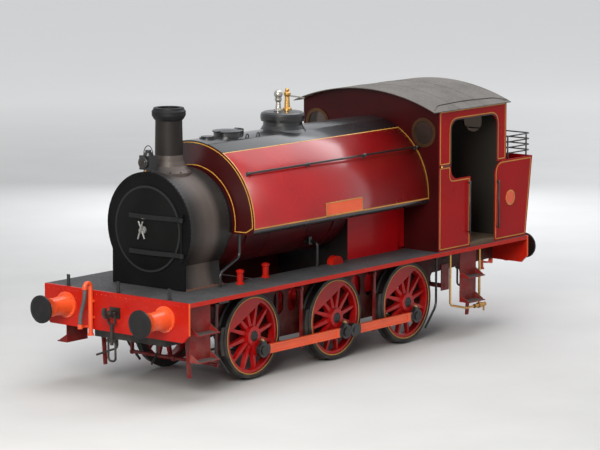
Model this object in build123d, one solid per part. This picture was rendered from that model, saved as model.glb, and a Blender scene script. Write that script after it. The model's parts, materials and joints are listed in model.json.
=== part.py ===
from build123d import *
from math import cos, sin, radians, sqrt
import os

os.makedirs("parts", exist_ok=True)

# Driving sizes in millimetres. Everything is drawn with lengths forward from the middle axle and
# heights up from the rail head, and is moved to the part's own origin when it is written.

# Wheels and track
wheel_dia = 1143
flange_depth = 28.5
tyre_width = 133
tyre_thick = 66
back_to_back = 1360
axle_front = 1753
axle_rear = -1600
axle_dia = 165
crank_throw = 222
crank_angle = 243
inside_throw = 300
spoke_count = 12

# Frame and footplate
front_end = 3553
rear_end = -3900
beam_thick = 33
front_beam_depth = 520
rear_beam_depth = 400
beam_corner = 100
deck_top = 1295
deck_width = 2540
deck_thick = 12
valance_depth = 58
valance_thick = 14
frame_gap = 1250
frame_thick = 28
frame_low = 430
frame_end_low = 830
horn_gap = 250
horn_rise = 190
motion_plate_x = 1020
cylinder_rear = 2350
cylinder_front = 3280
cylinder_low = 620
cylinder_top = 1120
cylinder_bore = 400
inside_spacing = 540

# Buffers and couplings
buffer_spacing = 1740
buffer_height = 1052
buffer_reach = 517
buffer_head_dia = 370
stock_length = 330
stock_dia = 280
ram_dia = 104
hook_height = 1040
hook_thick = 52
hook_pin_x = 72
throat_x = 150
throat_radius = 40
link_rod = 15
upper_link = 150
screw_length = 270
lower_link = 270

# Brake pipes and lamp irons
pipe_y = -400
pipe_top = 1395
pipe_low = 700
neck_x = 150
plug_height = 800
iron_y = 890
iron_height = 150

# Boiler, firebox and smokebox
boiler_height = 2090
boiler_radius = 660
barrel_front = 2100
barrel_rear = -480
firebox_rear = -1620
backhead = -1985
smokebox_radius = 715
smokebox_front_x = 2885
smokebox_plate = 20
smokebox_wall = 15
saddle_waist = 528
saddle_foot = 605
front_foot = 640
door_height = 2065
door_dia = 1145
door_hole_dia = 1040
door_dish = 76
door_gap = 5
hinge_y = 618
hinge_out = 46
hinge_pin_dia = 28
strap_heights = (1770, 2240)

# Saddle tank
tank_front = 2010
tank_rear = -1792
tank_top = 3150
tank_radius = 900
tank_flare = 22.5
tank_low = 1965
tank_edge = 2040
tank_clear = 20
filler_x = 1310
filler_dia = 380
filler_bore_dia = 330
filler_rise = 46
lid_dia = 410
dome_x = 150

# Chimney
chimney_x = 2490
chimney_dia = 372
chimney_bore = 290
chimney_top = 3630
cap_dia = 450

# Cab and bunker
cab_front = -1800
cab_rear = -3400
cab_half = 1220
sheet = 8
roof_front = -1620
roof_rear = -3435
roof_half = 1272
roof_edge = 3288
roof_peak = 3548
roof_thick = 10
waist_height = 2500
sill_height = 2300
door_front = -2545
door_rear = -3130
opening_front = -2080
opening_rear = -3170
opening_top = 3130
bunker_top = 2450
bunker_top_rear = -4050
floor_height = 1345
window_y = 960
window_height = 2970
window_dia = 350
rim_dia = 420
rear_window_y = 620
coal_rail_rise = 325
round_plate_x = -3502
round_plate_height = 1890
round_plate_dia = 220
fire_door_height = 1780
fire_hole_dia = 330
fire_hole_depth = 160
fire_door_dia = 400
fire_ring_thick = 14
regulator_height = 2330
valve_height = 2452
gauge_height = 2560

# Steps, guard irons, brakes and sanding
front_step_front = 3330
front_step_rear = 2930
cab_step_front = -2480
cab_step_rear = -2860
step_inset = 185
tread_inset = 8
upper_tread = 850
lower_tread = 495
guard_front = 2950
guard_rear = -3120
guard_low = 175
guard_y = 735
brake_pivot_rise = 480
brake_beam_drop = 300
shoe_thick = 62
brake_shaft_x = -2700
brake_shaft_height = 640
pump_y = 260
injector_x = -3010
injector_height = 360
sand_offset = 680
sand_box_low = 1110
clack_x = 250
clack_height = 1640
clack_y = 560
front_pots = (1980, 790)
rear_pots = (1350, 700)
cover_x = -120

# Small clearances
block_clear = 12
pin_clearance = 0.5
axle_clearance = 0.5

# Values worked out from the driving sizes
axle_height = wheel_dia / 2
tread_radius = wheel_dia / 2
flange_radius = tread_radius + flange_depth
back_face = back_to_back / 2
tyre_face = back_face + tyre_width
hub_face = tyre_face + 28
pin_start = hub_face + 22
pin_end = pin_start + 74
pin_radius = 46
rim_radius = tread_radius - tyre_thick
deck_half = deck_width / 2
deck_low = deck_top - deck_thick
frame_in = frame_gap / 2
frame_out = frame_in + frame_thick
front_in = front_end - beam_thick
rear_in = rear_end + beam_thick
front_plate_x = smokebox_front_x + smokebox_plate
door_radius = door_dia / 2
door_seat = front_plate_x + door_gap
hinge_x = front_plate_x + hinge_out
tank_centre = tank_top - tank_radius
axles = {"front": axle_front, "middle": 0, "rear": axle_rear}
length_middle = (front_end + rear_end) / 2
stand = Pos(-length_middle, 0, flange_depth)
made = {}


def keep(name, shape):
    """Holds a finished piece under its node's name."""
    made[name] = shape


def block(x0, x1, y0, y1, z0, z1):
    """A block between two corners."""
    middle = Pos((x0 + x1) / 2, (y0 + y1) / 2, (z0 + z1) / 2)
    return middle * Box(abs(x1 - x0), abs(y1 - y0), abs(z1 - z0))


def face_of(*curves):
    """A flat face inside a closed run of lines and arcs."""
    joined = curves[0]
    for curve in curves[1:]:
        joined += curve
    return make_face(joined)


def outline(*points):
    """A flat face inside straight lines."""
    return make_face(Polyline(*points, close=True))


def side_plate(face, y0, y1):
    """A plate drawn in side view, as length and height, and thick from y0 to y1."""
    return Pos(0, y0, 0) * extrude(Plane.XZ * face, amount=-(y1 - y0))


def cross_plate(face, x0, x1):
    """A plate drawn in end view, as side and height, and thick from x0 to x1."""
    return Pos(x0, 0, 0) * extrude(Plane.YZ * face, amount=x1 - x0)


def flat_plate(face, z0, z1):
    """A plate drawn in plan and thick from z0 to z1."""
    return Pos(0, 0, z0) * extrude(Plane.XY * face, amount=z1 - z0)


def bar_x(x0, x1, y, z, radius):
    """A round bar along the length."""
    return Pos((x0 + x1) / 2, y, z) * Rot(0, 90, 0) * Cylinder(radius, abs(x1 - x0))


def bar_y(y0, y1, x, z, radius):
    """A round bar across."""
    return Pos(x, (y0 + y1) / 2, z) * Rot(90, 0, 0) * Cylinder(radius, abs(y1 - y0))


def bar_z(z0, z1, x, y, radius):
    """A round bar upright."""
    return Pos(x, y, (z0 + z1) / 2) * Cylinder(radius, abs(z1 - z0))


def turned_z(x, y, *rings):
    """A turned piece on an upright axis, from pairs of radius and height."""
    points = [(0, rings[0][1]), *rings, (0, rings[-1][1])]
    face = Plane.XZ * outline(*points)
    return Pos(x, y, 0) * revolve(face, Axis.Z)


def turned_x(y, z, *rings):
    """A turned piece on an axis along the length, from pairs of length and radius."""
    points = [(rings[0][0], 0), *rings, (rings[-1][0], 0)]
    face = Plane.XY * outline(*points)
    return Pos(0, y, z) * revolve(face, Axis.X)


def tube(points, bend, radius):
    """A round pipe along straight runs joined by equal bends."""
    path = FilletPolyline(*points, radius=bend)
    section = Plane(origin=path @ 0, z_dir=path % 0) * Circle(radius)
    return sweep(section, path=path)


def mirrored(shape):
    """The same piece on the other side."""
    return mirror(shape, Plane.XZ)


def pair(shape):
    """A piece and its mirror image, as two solids."""
    return [shape, mirrored(shape)]


def write(name, shapes):
    """Moves the solids to the part's origin and writes them under the node's name."""
    solids = []
    for shape in shapes if isinstance(shapes, list) else [shapes]:
        solids += (stand * shape).solids()
    export_step(Compound(children=solids), f"parts/{name}.step")


# Running gear


def tyre():
    """A left steel tyre with its flange on the inner edge."""
    flange_top = 20
    rings = (
        (back_face, rim_radius),
        (back_face, flange_radius - 6),
        (back_face + 8, flange_radius),
        (back_face + flange_top, flange_radius - 6),
        (back_face + flange_top + 14, tread_radius + 3),
        (tyre_face - 10, tread_radius),
        (tyre_face, tread_radius - 10),
        (tyre_face, rim_radius),
    )
    return revolve(Plane.XY * outline(*[(radius, y) for y, radius in rings]), Axis.Y)


def wheel_centre():
    """A left wheel centre with its crank straight ahead, turned to its angle when it is placed."""
    rim_in = rim_radius - 42
    hub_radius = 128
    boss_radius = 92
    web_half = boss_radius - 12
    rim = bar_y(back_face + 12, tyre_face - 14, 0, 0, rim_radius)
    rim -= bar_y(back_face, tyre_face, 0, 0, rim_in)
    spoke = loft(
        [
            Plane.XY.offset(hub_radius - 30) * Pos(0, (back_face + hub_face) / 2) * Rectangle(58, 82),
            Plane.XY.offset(rim_in + 10) * Pos(0, (back_face + tyre_face) / 2) * Rectangle(34, 52),
        ]
    )
    spokes = [Rot(0, 360 / spoke_count * (turn + 0.5), 0) * spoke for turn in range(spoke_count)]
    weight = bar_y(back_face + 22, tyre_face - 20, 0, 0, rim_in + 5)
    weight &= block(-rim_in, -rim_in * 0.62, back_face, tyre_face, -rim_in, rim_in)
    crank = [
        bar_y(tyre_face - 60, hub_face, crank_throw, 0, boss_radius),
        block(0, crank_throw, tyre_face - 60, hub_face, -web_half, web_half),
        bar_y(hub_face, pin_start, crank_throw, 0, pin_radius + 14),
        bar_y(pin_start, pin_end, crank_throw, 0, pin_radius),
        bar_y(pin_end, pin_end + 16, crank_throw, 0, pin_radius + 16),
    ]
    hub = bar_y(back_face + 6, hub_face, 0, 0, hub_radius)
    return rim + [hub, weight] + spokes + crank


def crank_axle():
    """The middle axle, with two inside cranks at right angles."""
    web_thick = 100
    pin_length = 110
    crank_y = 270
    radius = axle_dia / 2
    web_half = 120
    cranks = ((crank_y, crank_angle + 180), (-crank_y, crank_angle + 270))
    shaft = bar_y(-back_face - 20, back_face + 20, 0, 0, radius)
    webs = []
    for y, angle in cranks:
        reach = pin_length / 2 + web_thick
        web = block(-web_half, inside_throw, -reach, reach, -web_half, web_half)
        web += bar_y(-reach, reach, inside_throw, 0, web_half)
        web -= block(-web_half - 1, inside_throw + web_half + 1, -pin_length / 2, pin_length / 2, -200, 200)
        web += bar_y(-pin_length / 2, pin_length / 2, inside_throw, 0, radius)
        gap = block(-radius - 1, radius + 1, y - pin_length / 2, y + pin_length / 2, -radius - 1, radius + 1)
        shaft -= gap
        webs.append(Pos(0, y, 0) * Rot(0, -angle, 0) * web)
    return shaft + webs


def coupled_axle(axle):
    """An axle with its two wheels, the right crank a quarter turn from the left."""
    left = Rot(0, -crank_angle, 0) * left_wheel
    right = Rot(0, -crank_angle - 90, 0) * mirrored(left_wheel)
    return axle + [left, right]


def coupling_rod():
    """The left coupling rod about its middle pin: two lengths joined by a knuckle behind that pin."""
    low = pin_start + 3
    high = pin_end - 5
    web_low = low + 12
    web_high = high - 10
    rod_half = 62
    eye_radius = 98
    knuckle_x = -190
    rod = block(axle_rear, axle_front, web_low, web_high, -rod_half, rod_half)
    for x0, x1 in ((axle_rear + 200, knuckle_x - 160), (200, axle_front - 200)):
        rod -= block(x0, x1, web_high - 12, web_high + 1, -rod_half + 22, rod_half - 22)
    bosses = [bar_y(low + 6, high - 4, knuckle_x, 0, 92), bar_y(high - 4, high + 8, knuckle_x, 0, 34)]
    for x in axles.values():
        bosses.append(bar_y(low, high, x, 0, eye_radius))
        bosses.append(block(x - 42, x + 42, low + 8, high - 8, 0, eye_radius + 34))
        bosses.append(bar_z(eye_radius + 30, eye_radius + 52, x, (low + high) / 2, 20))
    rod += bosses
    for x in axles.values():
        rod -= bar_y(low - 1, high + 1, x, 0, pin_radius + pin_clearance)
    return rod


def crank_pin(angle):
    """Where the middle crank pin is, with the wheel at its rest position."""
    return Pos(crank_throw * cos(radians(angle)), 0, axle_height + crank_throw * sin(radians(angle)))


left_tyre = tyre()
left_wheel = wheel_centre()
plain_axle = coupled_axle(bar_y(-back_face - 20, back_face + 20, 0, 0, axle_dia / 2))
driven_axle = coupled_axle(crank_axle())
for axle_name, axle_x in axles.items():
    place = Pos(axle_x, 0, axle_height)
    keep(f"tyres_{axle_name}", [place * left_tyre, place * mirrored(left_tyre)])
    keep(f"wheels_{axle_name}", place * (driven_axle if axle_name == "middle" else plain_axle))
left_rod = coupling_rod()
keep("coupling_rod_left", crank_pin(crank_angle) * left_rod)
keep("coupling_rod_right", crank_pin(crank_angle + 90) * mirrored(left_rod))


# Frame, beams and footplate

frame_side = outline(
    (front_in, deck_low),
    (front_in, frame_end_low),
    (axle_front + 700, frame_end_low),
    (axle_front + 480, frame_low),
    (axle_rear - 480, frame_low),
    (axle_rear - 800, frame_end_low + 40),
    (rear_in, frame_end_low + 80),
    (rear_in, deck_low),
)
frame_plate = side_plate(frame_side, frame_in, frame_out)
for axle_x in axles.values():
    frame_plate -= block(
        axle_x - horn_gap / 2, axle_x + horn_gap / 2, 0, 1000, frame_low - 1, axle_height + horn_rise
    )
for hole_x in (axle_front / 2 - 150, axle_front / 2 + 150, axle_rear / 2 - 150, axle_rear / 2 + 150):
    hole = Pos(hole_x, 0, 900) * Rot(90, 0, 0) * extrude(SlotOverall(330, 210, rotation=90), 1000, both=True)
    frame_plate -= hole
keep("frame_plates", pair(frame_plate))

stretchers = []
stretcher_rows = (
    # x from, x to, bottom, top
    (cylinder_front + 20, cylinder_front + 40, frame_end_low, deck_low),
    (motion_plate_x - 20, motion_plate_x + 20, 760, 1180),
    (-2300, -2260, 900, deck_low),
    (-3300, -3280, 960, deck_low),
)
for x0, x1, low, high in stretcher_rows:
    stretchers.append(block(x0, x1, -frame_in, frame_in, low, high))
slide_length = 560
slide_height = (cylinder_low + cylinder_top) / 2 + 30
slide_start = motion_plate_x + 20
for bar_side in (-inside_spacing / 2, inside_spacing / 2):
    for rise in (-75, 75):
        bar = block(0, slide_length, bar_side - 45, bar_side + 45, rise - 16, rise + 16)
        stretchers[1] += Pos(slide_start, 0, slide_height) * bar
keep("frame_stretchers", stretchers)

front_beam_face = outline(
    (-deck_half, deck_top),
    (-deck_half, deck_top - front_beam_depth + beam_corner),
    (-deck_half + beam_corner, deck_top - front_beam_depth),
    (deck_half - beam_corner, deck_top - front_beam_depth),
    (deck_half, deck_top - front_beam_depth + beam_corner),
    (deck_half, deck_top),
)
rear_beam_face = outline(
    (-deck_half, deck_top),
    (-deck_half, deck_top - rear_beam_depth + beam_corner),
    (-deck_half + beam_corner, deck_top - rear_beam_depth),
    (deck_half - beam_corner, deck_top - rear_beam_depth),
    (deck_half, deck_top - rear_beam_depth + beam_corner),
    (deck_half, deck_top),
)
front_beam = cross_plate(front_beam_face, front_in, front_end)
rear_beam = cross_plate(rear_beam_face, rear_end, rear_in)
keep("buffer_beams", [front_beam, rear_beam])

deck = block(rear_in, front_in, -deck_half, deck_half, deck_low, deck_top)
well_front = barrel_front - 60
deck -= block(backhead, well_front, -frame_in, frame_in, deck_low - 1, deck_top + 1)
for side in (-1, 1):
    deck += block(
        rear_in,
        front_in,
        side * (deck_half - valance_thick),
        side * deck_half,
        deck_top - valance_depth,
        deck_top,
    )
keep("footplate", deck)


# Buffers, hooks and couplings


def at_ends(shape):
    """The piece at the front, and the same turned round at the rear."""
    rear = Pos(rear_end, 0, 0) * Rot(0, 0, 180) * shape
    return [Pos(front_end, 0, 0) * shape, rear]


stocks = []
heads = []
for side in (-1, 1):
    y = side * buffer_spacing / 2
    stock = turned_x(
        y,
        buffer_height,
        (0, 172),
        (26, 172),
        (26, stock_dia / 2),
        (stock_length - 40, stock_dia / 2 - 28),
        (stock_length - 40, stock_dia / 2 - 16),
        (stock_length, stock_dia / 2 - 16),
    )
    stock -= bar_x(60, stock_length + 1, y, buffer_height, ram_dia / 2)
    head = bar_x(60, buffer_reach - 50, y, buffer_height, ram_dia / 2)
    head += turned_x(
        y,
        buffer_height,
        (buffer_reach - 62, ram_dia / 2 + 20),
        (buffer_reach - 45, buffer_head_dia / 2),
        (buffer_reach - 20, buffer_head_dia / 2),
        (buffer_reach - 8, buffer_head_dia / 2 - 40),
        (buffer_reach, 60),
    )
    stocks += at_ends(stock)
    heads += at_ends(head)
keep("buffer_stocks", stocks)
keep("buffer_heads", heads)

shank_half = 38
throat_front = throat_x + throat_radius
throat_rear = throat_x - throat_radius
hook_tip = throat_front + 24
hook_side = face_of(
    Line((0, shank_half), (throat_rear, shank_half)),
    ThreePointArc(
        (throat_rear, shank_half), (throat_x, shank_half - throat_radius), (throat_front, shank_half)
    ),
    Polyline((throat_front, shank_half), (throat_front - 4, shank_half + 46), (hook_tip, shank_half + 54)),
    ThreePointArc((hook_tip, shank_half + 54), (hook_tip + 22, 20), (throat_x + 20, -66)),
    Polyline((throat_x + 20, -66), (throat_rear, -shank_half), (0, -shank_half), (0, shank_half)),
)
hook = Pos(0, 0, hook_height) * side_plate(hook_side, -hook_thick / 2, hook_thick / 2)
hook += block(0, 22, -90, 90, hook_height - 70, hook_height + 70)
hook -= bar_y(-60, 60, hook_pin_x, hook_height, 18 + pin_clearance)
keep("drawhooks", at_ends(hook))


def shackle(width, length, rod, x, z):
    """A hanging U of round bar, with its two eyes on a pin at x and z."""
    half = width / 2
    bend = 3 * rod
    bow = tube([(x, half, z), (x, half, z - length), (x, -half, z - length), (x, -half, z)], bend, rod)
    eye = bar_y(half - rod - 4, half + rod + 4, x, z, 1.8 * rod)
    return bow + [eye, mirrored(eye)]


screw_low = hook_height - upper_link - screw_length
nut_height = screw_low + 60
coupling = shackle(116, upper_link, link_rod, hook_pin_x, hook_height) + [
    bar_y(-76, 76, hook_pin_x, hook_height, 18),
    bar_z(screw_low, hook_height - upper_link + link_rod, hook_pin_x, 0, 23),
    bar_z(nut_height - 26, nut_height + 26, hook_pin_x, 0, 40),
    bar_y(-82, 82, hook_pin_x, nut_height, 17),
    shackle(124, lower_link, link_rod, hook_pin_x, nut_height),
]
keep("screw_couplings", at_ends(coupling))

pipe_x = 45
neck_low = pipe_top - 75
plug_y = pipe_y - 88
pipe = tube(
    [
        (pipe_x, pipe_y, pipe_low),
        (pipe_x, pipe_y, pipe_top),
        (neck_x, pipe_y, pipe_top),
        (neck_x, pipe_y, neck_low),
    ],
    48,
    31,
)
pipe += bar_z(pipe_low, pipe_low + 24, pipe_x, pipe_y, 44)
pipe += bar_z(neck_low, neck_low + 26, neck_x, pipe_y, 38)
for clip_z in (925, 1140):
    pipe += block(0, pipe_x, pipe_y - 36, pipe_y + 36, clip_z, clip_z + 32)
pipe += block(pipe_x, neck_x, plug_y - 12, plug_y + 12, plug_height, plug_height + 24)
pipe += block(pipe_x - 12, pipe_x + 12, plug_y - 12, pipe_y, plug_height, plug_height + 24)
pipe += bar_z(plug_height - 10, plug_height + 50, neck_x, plug_y, 34)
keep("brake_pipes", at_ends(pipe))
hose_route = [
    (neck_x, pipe_y, neck_low),
    (neck_x, pipe_y, neck_low - 120),
    (neck_x, plug_y, plug_height + 160),
    (neck_x, plug_y, plug_height + 50),
]
keep("brake_hoses", at_ends(tube(hose_route, 110, 27)))


def bunker_back(height):
    """The outer face of the leaning bunker back at a height."""
    lean = (bunker_top_rear - rear_end) / (bunker_top - deck_top)
    return rear_end + lean * (height - deck_top)


iron_x = front_end - 53
iron_foot = 2040
back_low = bunker_back(iron_foot)
back_high = bunker_back(iron_foot + 60)
back_iron = outline(
    (back_low, iron_foot),
    (back_high, iron_foot + 60),
    (back_high - 24, iron_foot + 60),
    (back_high - 24, iron_foot + 60 + iron_height),
    (back_high - 36, iron_foot + 60 + iron_height),
    (back_high - 36, iron_foot + 36),
    (back_low - 12, iron_foot),
)
irons = []
for y in (-iron_y, 0, iron_y):
    iron = block(iron_x - 12, iron_x, y - 26, y + 26, deck_top, deck_top + iron_height)
    iron += block(iron_x - 30, iron_x, y - 26, y + 26, deck_top, deck_top + 12)
    irons += [iron, side_plate(back_iron, y - 26, y + 26)]
keep("lamp_irons", irons)


# Boiler, firebox and smokebox

barrel = bar_x(barrel_rear, barrel_front, 0, boiler_height, boiler_radius)
for band_x, rise in ((1150, 5), (330, 5), (1650, tank_clear), (-200, tank_clear)):
    barrel += bar_x(band_x - 25, band_x + 25, 0, boiler_height, boiler_radius + rise)
keep("boiler_barrel", barrel)

firebox_half = 640
ring_half = 600
ring_height = 780
firebox_section = face_of(
    Polyline(
        (-firebox_half, boiler_height),
        (-firebox_half, deck_top),
        (-ring_half, deck_top),
        (-ring_half, ring_height),
        (ring_half, ring_height),
        (ring_half, deck_top),
        (firebox_half, deck_top),
        (firebox_half, boiler_height),
    ),
    ThreePointArc(
        (firebox_half, boiler_height), (0, boiler_height + firebox_half), (-firebox_half, boiler_height)
    ),
)
firebox = cross_plate(firebox_section, firebox_rear, barrel_rear)
back_inset = 30
back_section = offset(firebox_section, -back_inset, kind=Kind.INTERSECTION)
firebox += cross_plate(back_section, backhead, firebox_rear)
grate_slope = outline(
    (backhead + 885, ring_height - 80),
    (backhead - 10, ring_height - 80),
    (backhead - 10, ring_height + 230),
    (backhead + 565, ring_height + 20),
    (backhead + 885, ring_height),
)
firebox -= side_plate(grate_slope, -deck_half, deck_half)
firebox -= bar_x(backhead - 1, backhead + fire_hole_depth, 0, fire_door_height, fire_hole_dia / 2)
keep("firebox", firebox)

fire_seat = backhead - fire_ring_thick
fire_door_front = fire_seat - door_gap
fire_door_back = fire_door_front - 14
fire_pin_x = fire_door_back - 6
fire_pin_y = fire_door_dia / 2 + 34
fire_pin_radius = 9
fire_ring = bar_x(fire_seat, backhead, 0, fire_door_height, fire_door_dia / 2 - 10)
fire_ring -= bar_x(fire_seat - 1, backhead + 1, 0, fire_door_height, fire_hole_dia / 2)
fire_lug_rise = 92
for low in (fire_door_height - fire_lug_rise - 16, fire_door_height + fire_lug_rise):
    fire_ring += block(fire_pin_x, backhead, fire_pin_y - 16, fire_pin_y + 16, low, low + 16)
    fire_ring += bar_z(low, low + 16, fire_pin_x, fire_pin_y, 16)
pin_reach = fire_lug_rise + 16
fire_ring += bar_z(
    fire_door_height - pin_reach, fire_door_height + pin_reach, fire_pin_x, fire_pin_y, fire_pin_radius
)
keep("fire_hole_ring", fire_ring.solids())

fire_door = bar_x(fire_door_back, fire_door_front, 0, fire_door_height, fire_door_dia / 2)
for strap_rise in (-70, 70):
    low = fire_door_height + strap_rise - 14
    fire_door += block(fire_door_back - 10, fire_door_back, -90, fire_pin_y - 30, low, low + 28)
    fire_door += block(fire_door_back - 10, fire_pin_x + 8, fire_pin_y - 60, fire_pin_y, low, low + 28)
    fire_door += bar_z(low, low + 28, fire_pin_x, fire_pin_y, 20)
    fire_door -= bar_z(low - 1, low + 29, fire_pin_x, fire_pin_y, fire_pin_radius + pin_clearance)
fire_door += bar_x(fire_door_back - 34, fire_door_back, -150, fire_door_height, 12)
fire_door += bar_z(fire_door_height - 60, fire_door_height + 60, fire_door_back - 34, -150, 12)
keep("fire_door", fire_door)

ashpan_side = outline(
    (-560, ring_height),
    (-560, 620),
    (-700, 500),
    (-860, 500),
    (-900, 640),
    (-1330, 740),
    (-1330, ring_height),
)
keep("ashpan", side_plate(ashpan_side, -540, 540))

saddle_meet = sqrt(smokebox_radius**2 - saddle_waist**2)
saddle_meet_z = boiler_height - saddle_meet
saddle_face = face_of(
    Polyline((-saddle_waist, saddle_meet_z), (saddle_waist, saddle_meet_z)),
    ThreePointArc((saddle_waist, saddle_meet_z), (saddle_waist + 12, 1450), (saddle_foot, deck_top)),
    Polyline((saddle_foot, deck_top), (-saddle_foot, deck_top)),
    ThreePointArc((-saddle_foot, deck_top), (-saddle_waist - 12, 1450), (-saddle_waist, saddle_meet_z)),
)
drum_section = Pos(0, boiler_height) * Circle(smokebox_radius) + saddle_face
wrapper = cross_plate(drum_section, barrel_front, smokebox_front_x)
chamber_radius = smokebox_radius - smokebox_wall
wrapper -= bar_x(barrel_front + smokebox_wall, smokebox_front_x + 1, 0, boiler_height, chamber_radius)
wrapper -= bar_z(boiler_height, boiler_height + smokebox_radius, chimney_x, 0, chimney_bore / 2)
keep("smokebox_wrapper", wrapper)

plate_radius = smokebox_radius + 12
plate_face = Pos(0, boiler_height) * Circle(plate_radius)
plate_face += outline(
    (-front_foot, boiler_height),
    (-front_foot, deck_top),
    (front_foot, deck_top),
    (front_foot, boiler_height),
)
front_plate = cross_plate(plate_face, smokebox_front_x, front_plate_x)
front_plate -= bar_x(smokebox_front_x - 1, front_plate_x + 1, 0, door_height, door_hole_dia / 2)
hinge_low = strap_heights[0] - 70
hinge_high = strap_heights[1] + 70
front_plate += bar_z(hinge_low, hinge_high, hinge_x, hinge_y, hinge_pin_dia / 2)
for lug_z in (hinge_low, hinge_high - 24):
    front_plate += block(front_plate_x, hinge_x, hinge_y - 22, hinge_y + 22, lug_z, lug_z + 24)
    front_plate += bar_z(lug_z, lug_z + 24, hinge_x, hinge_y, 22)
keep("smokebox_front", front_plate)

dish_edge = door_radius - 34
dish_radius = (dish_edge**2 + door_dish**2) / (2 * door_dish)
dish_back = door_seat + 14
dish_peak = dish_back + door_dish
dish_centre = dish_peak - dish_radius
shell_thick = 14
shell_edge = door_radius - 60


def on_dish(radius, across):
    """A point of the door's dish, as length and distance from its axis."""
    return (dish_centre + sqrt(radius**2 - across**2), across)


def dish_arc(radius, edge):
    """The curve of the dish from its edge to its middle."""
    return ThreePointArc(on_dish(radius, edge), on_dish(radius, edge / 2), on_dish(radius, 0))


def turned_dish(face):
    """A dished piece turned about the door's axis."""
    return Pos(0, 0, door_height) * revolve(Plane.XY * face, Axis.X)


inner_radius = dish_radius - shell_thick
shell_seat = on_dish(inner_radius, shell_edge)
door_face = face_of(
    Polyline(
        on_dish(dish_radius, dish_edge),
        (dish_back, door_radius),
        (door_seat, door_radius),
        (door_seat, shell_edge),
        shell_seat,
    ),
    dish_arc(inner_radius, shell_edge),
    Line(on_dish(inner_radius, 0), on_dish(dish_radius, 0)),
    dish_arc(dish_radius, dish_edge),
)
keep("smokebox_door", turned_dish(door_face))
dish_face = face_of(
    Polyline(
        on_dish(dish_radius, dish_edge), (dish_centre, dish_edge), (dish_centre, 0), on_dish(dish_radius, 0)
    ),
    dish_arc(dish_radius, dish_edge),
)
dish_solid = turned_dish(dish_face)

strap_half = 30
strap_thick = 13
strap_end = -260
strap_root = dish_edge - 60
fittings = []
for strap_z in strap_heights:
    outer = dish_radius + strap_thick
    strap_face = face_of(
        Polyline(
            on_dish(outer, strap_end),
            (dish_back, strap_end),
            (dish_back, strap_root),
            on_dish(outer, strap_root),
        ),
        ThreePointArc(on_dish(outer, strap_root), on_dish(outer, 0), on_dish(outer, strap_end)),
    )
    low, high = strap_z - strap_half, strap_z + strap_half
    strap = flat_plate(strap_face, low, high)
    strap += block(dish_back + 6, hinge_x + 8, strap_root - 60, hinge_y, low, high)
    strap += bar_z(low, high, hinge_x, hinge_y, 30)
    strap -= bar_z(low - 1, high + 1, hinge_x, hinge_y, hinge_pin_dia / 2 + pin_clearance)
    fittings.append(strap - dish_solid)
dart = bar_x(dish_peak - 20, dish_peak + 26, 0, door_height, 52)
dart += bar_x(dish_peak + 26, dish_peak + 74, 0, door_height, 20)
for handle_x, handle_turn in ((dish_peak + 38, 25), (dish_peak + 62, -20)):
    dart += Pos(handle_x, 0, door_height) * Rot(handle_turn, 0, 0) * bar_z(-125, 125, 0, 0, 11)
fittings.append(dart - dish_solid)
keep("door_fittings", fittings)

blast = turned_z(chimney_x, 0, (150, 1380), (150, 1420), (90, 1460), (80, 1800), (62, 1950))
floor_cut = bar_x(barrel_front, smokebox_front_x, 0, boiler_height, chamber_radius)
blast &= floor_cut
keep("blast_pipe", blast)

chimney_foot = 3010
skirt = turned_z(
    chimney_x,
    0,
    (300, boiler_height + 510),
    (300, boiler_height + 695),
    (262, boiler_height + 726),
    (220, chimney_foot - 144),
    (196, chimney_foot - 80),
    (chimney_dia / 2, chimney_foot),
)
skirt -= bar_x(barrel_front, smokebox_front_x, 0, boiler_height, smokebox_radius)
stack = turned_z(
    chimney_x,
    0,
    (chimney_dia / 2, chimney_foot),
    (chimney_dia / 2 - 8, chimney_top - 170),
    (cap_dia / 2 - 22, chimney_top - 140),
    (cap_dia / 2, chimney_top - 100),
    (cap_dia / 2, chimney_top - 45),
    (cap_dia / 2 - 16, chimney_top - 24),
    (cap_dia / 2 - 26, chimney_top),
)
flue = bar_z(boiler_height, chimney_top + 1, chimney_x, 0, chimney_bore / 2)
keep("chimney_base", skirt - flue)
keep("chimney", stack - flue)

lamp_x = 2895
lamp_foot = boiler_height + plate_radius
lamp = block(lamp_x - 80, lamp_x + 80, -88, 88, lamp_foot + 34, lamp_foot + 220)
lamp += bar_x(lamp_x + 80, lamp_x + 100, 0, lamp_foot + 132, 72)
lamp += turned_z(
    lamp_x, 0, (70, lamp_foot + 220), (62, lamp_foot + 250), (40, lamp_foot + 262), (40, lamp_foot + 290)
)
lamp += block(lamp_x - 10, lamp_x + 4, -30, 30, lamp_foot, lamp_foot + 34)
keep("headlamp", lamp)


# Saddle tank and its mountings

flare = radians(tank_flare)
shoulder_y = tank_radius * cos(flare)
shoulder_z = tank_centre + tank_radius * sin(flare)
edge_y = shoulder_y + (shoulder_z - tank_edge) * sin(flare) / cos(flare)
under_y = edge_y - 150
tank_section = face_of(
    ThreePointArc((-shoulder_y, shoulder_z), (0, tank_top), (shoulder_y, shoulder_z)),
    Polyline((shoulder_y, shoulder_z), (edge_y, tank_edge)),
    ThreePointArc((edge_y, tank_edge), (edge_y - 22, tank_edge - 48), (under_y, tank_low)),
    Polyline((under_y, tank_low), (-under_y, tank_low)),
    ThreePointArc((-under_y, tank_low), (-edge_y + 22, tank_edge - 48), (-edge_y, tank_edge)),
    Polyline((-edge_y, tank_edge), (-shoulder_y, shoulder_z)),
)
tank_body = cross_plate(tank_section, tank_rear, tank_front)
barrel_space = bar_x(tank_rear - 1, tank_front + 1, 0, boiler_height, boiler_radius + tank_clear)
tank = tank_body - barrel_space
tank += bar_z(tank_top - 80, tank_top + filler_rise, filler_x, 0, filler_dia / 2)
tank -= bar_z(tank_top - 240, tank_top + filler_rise + 1, filler_x, 0, filler_bore_dia / 2)
lid_low = tank_top + filler_rise + 5
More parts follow.
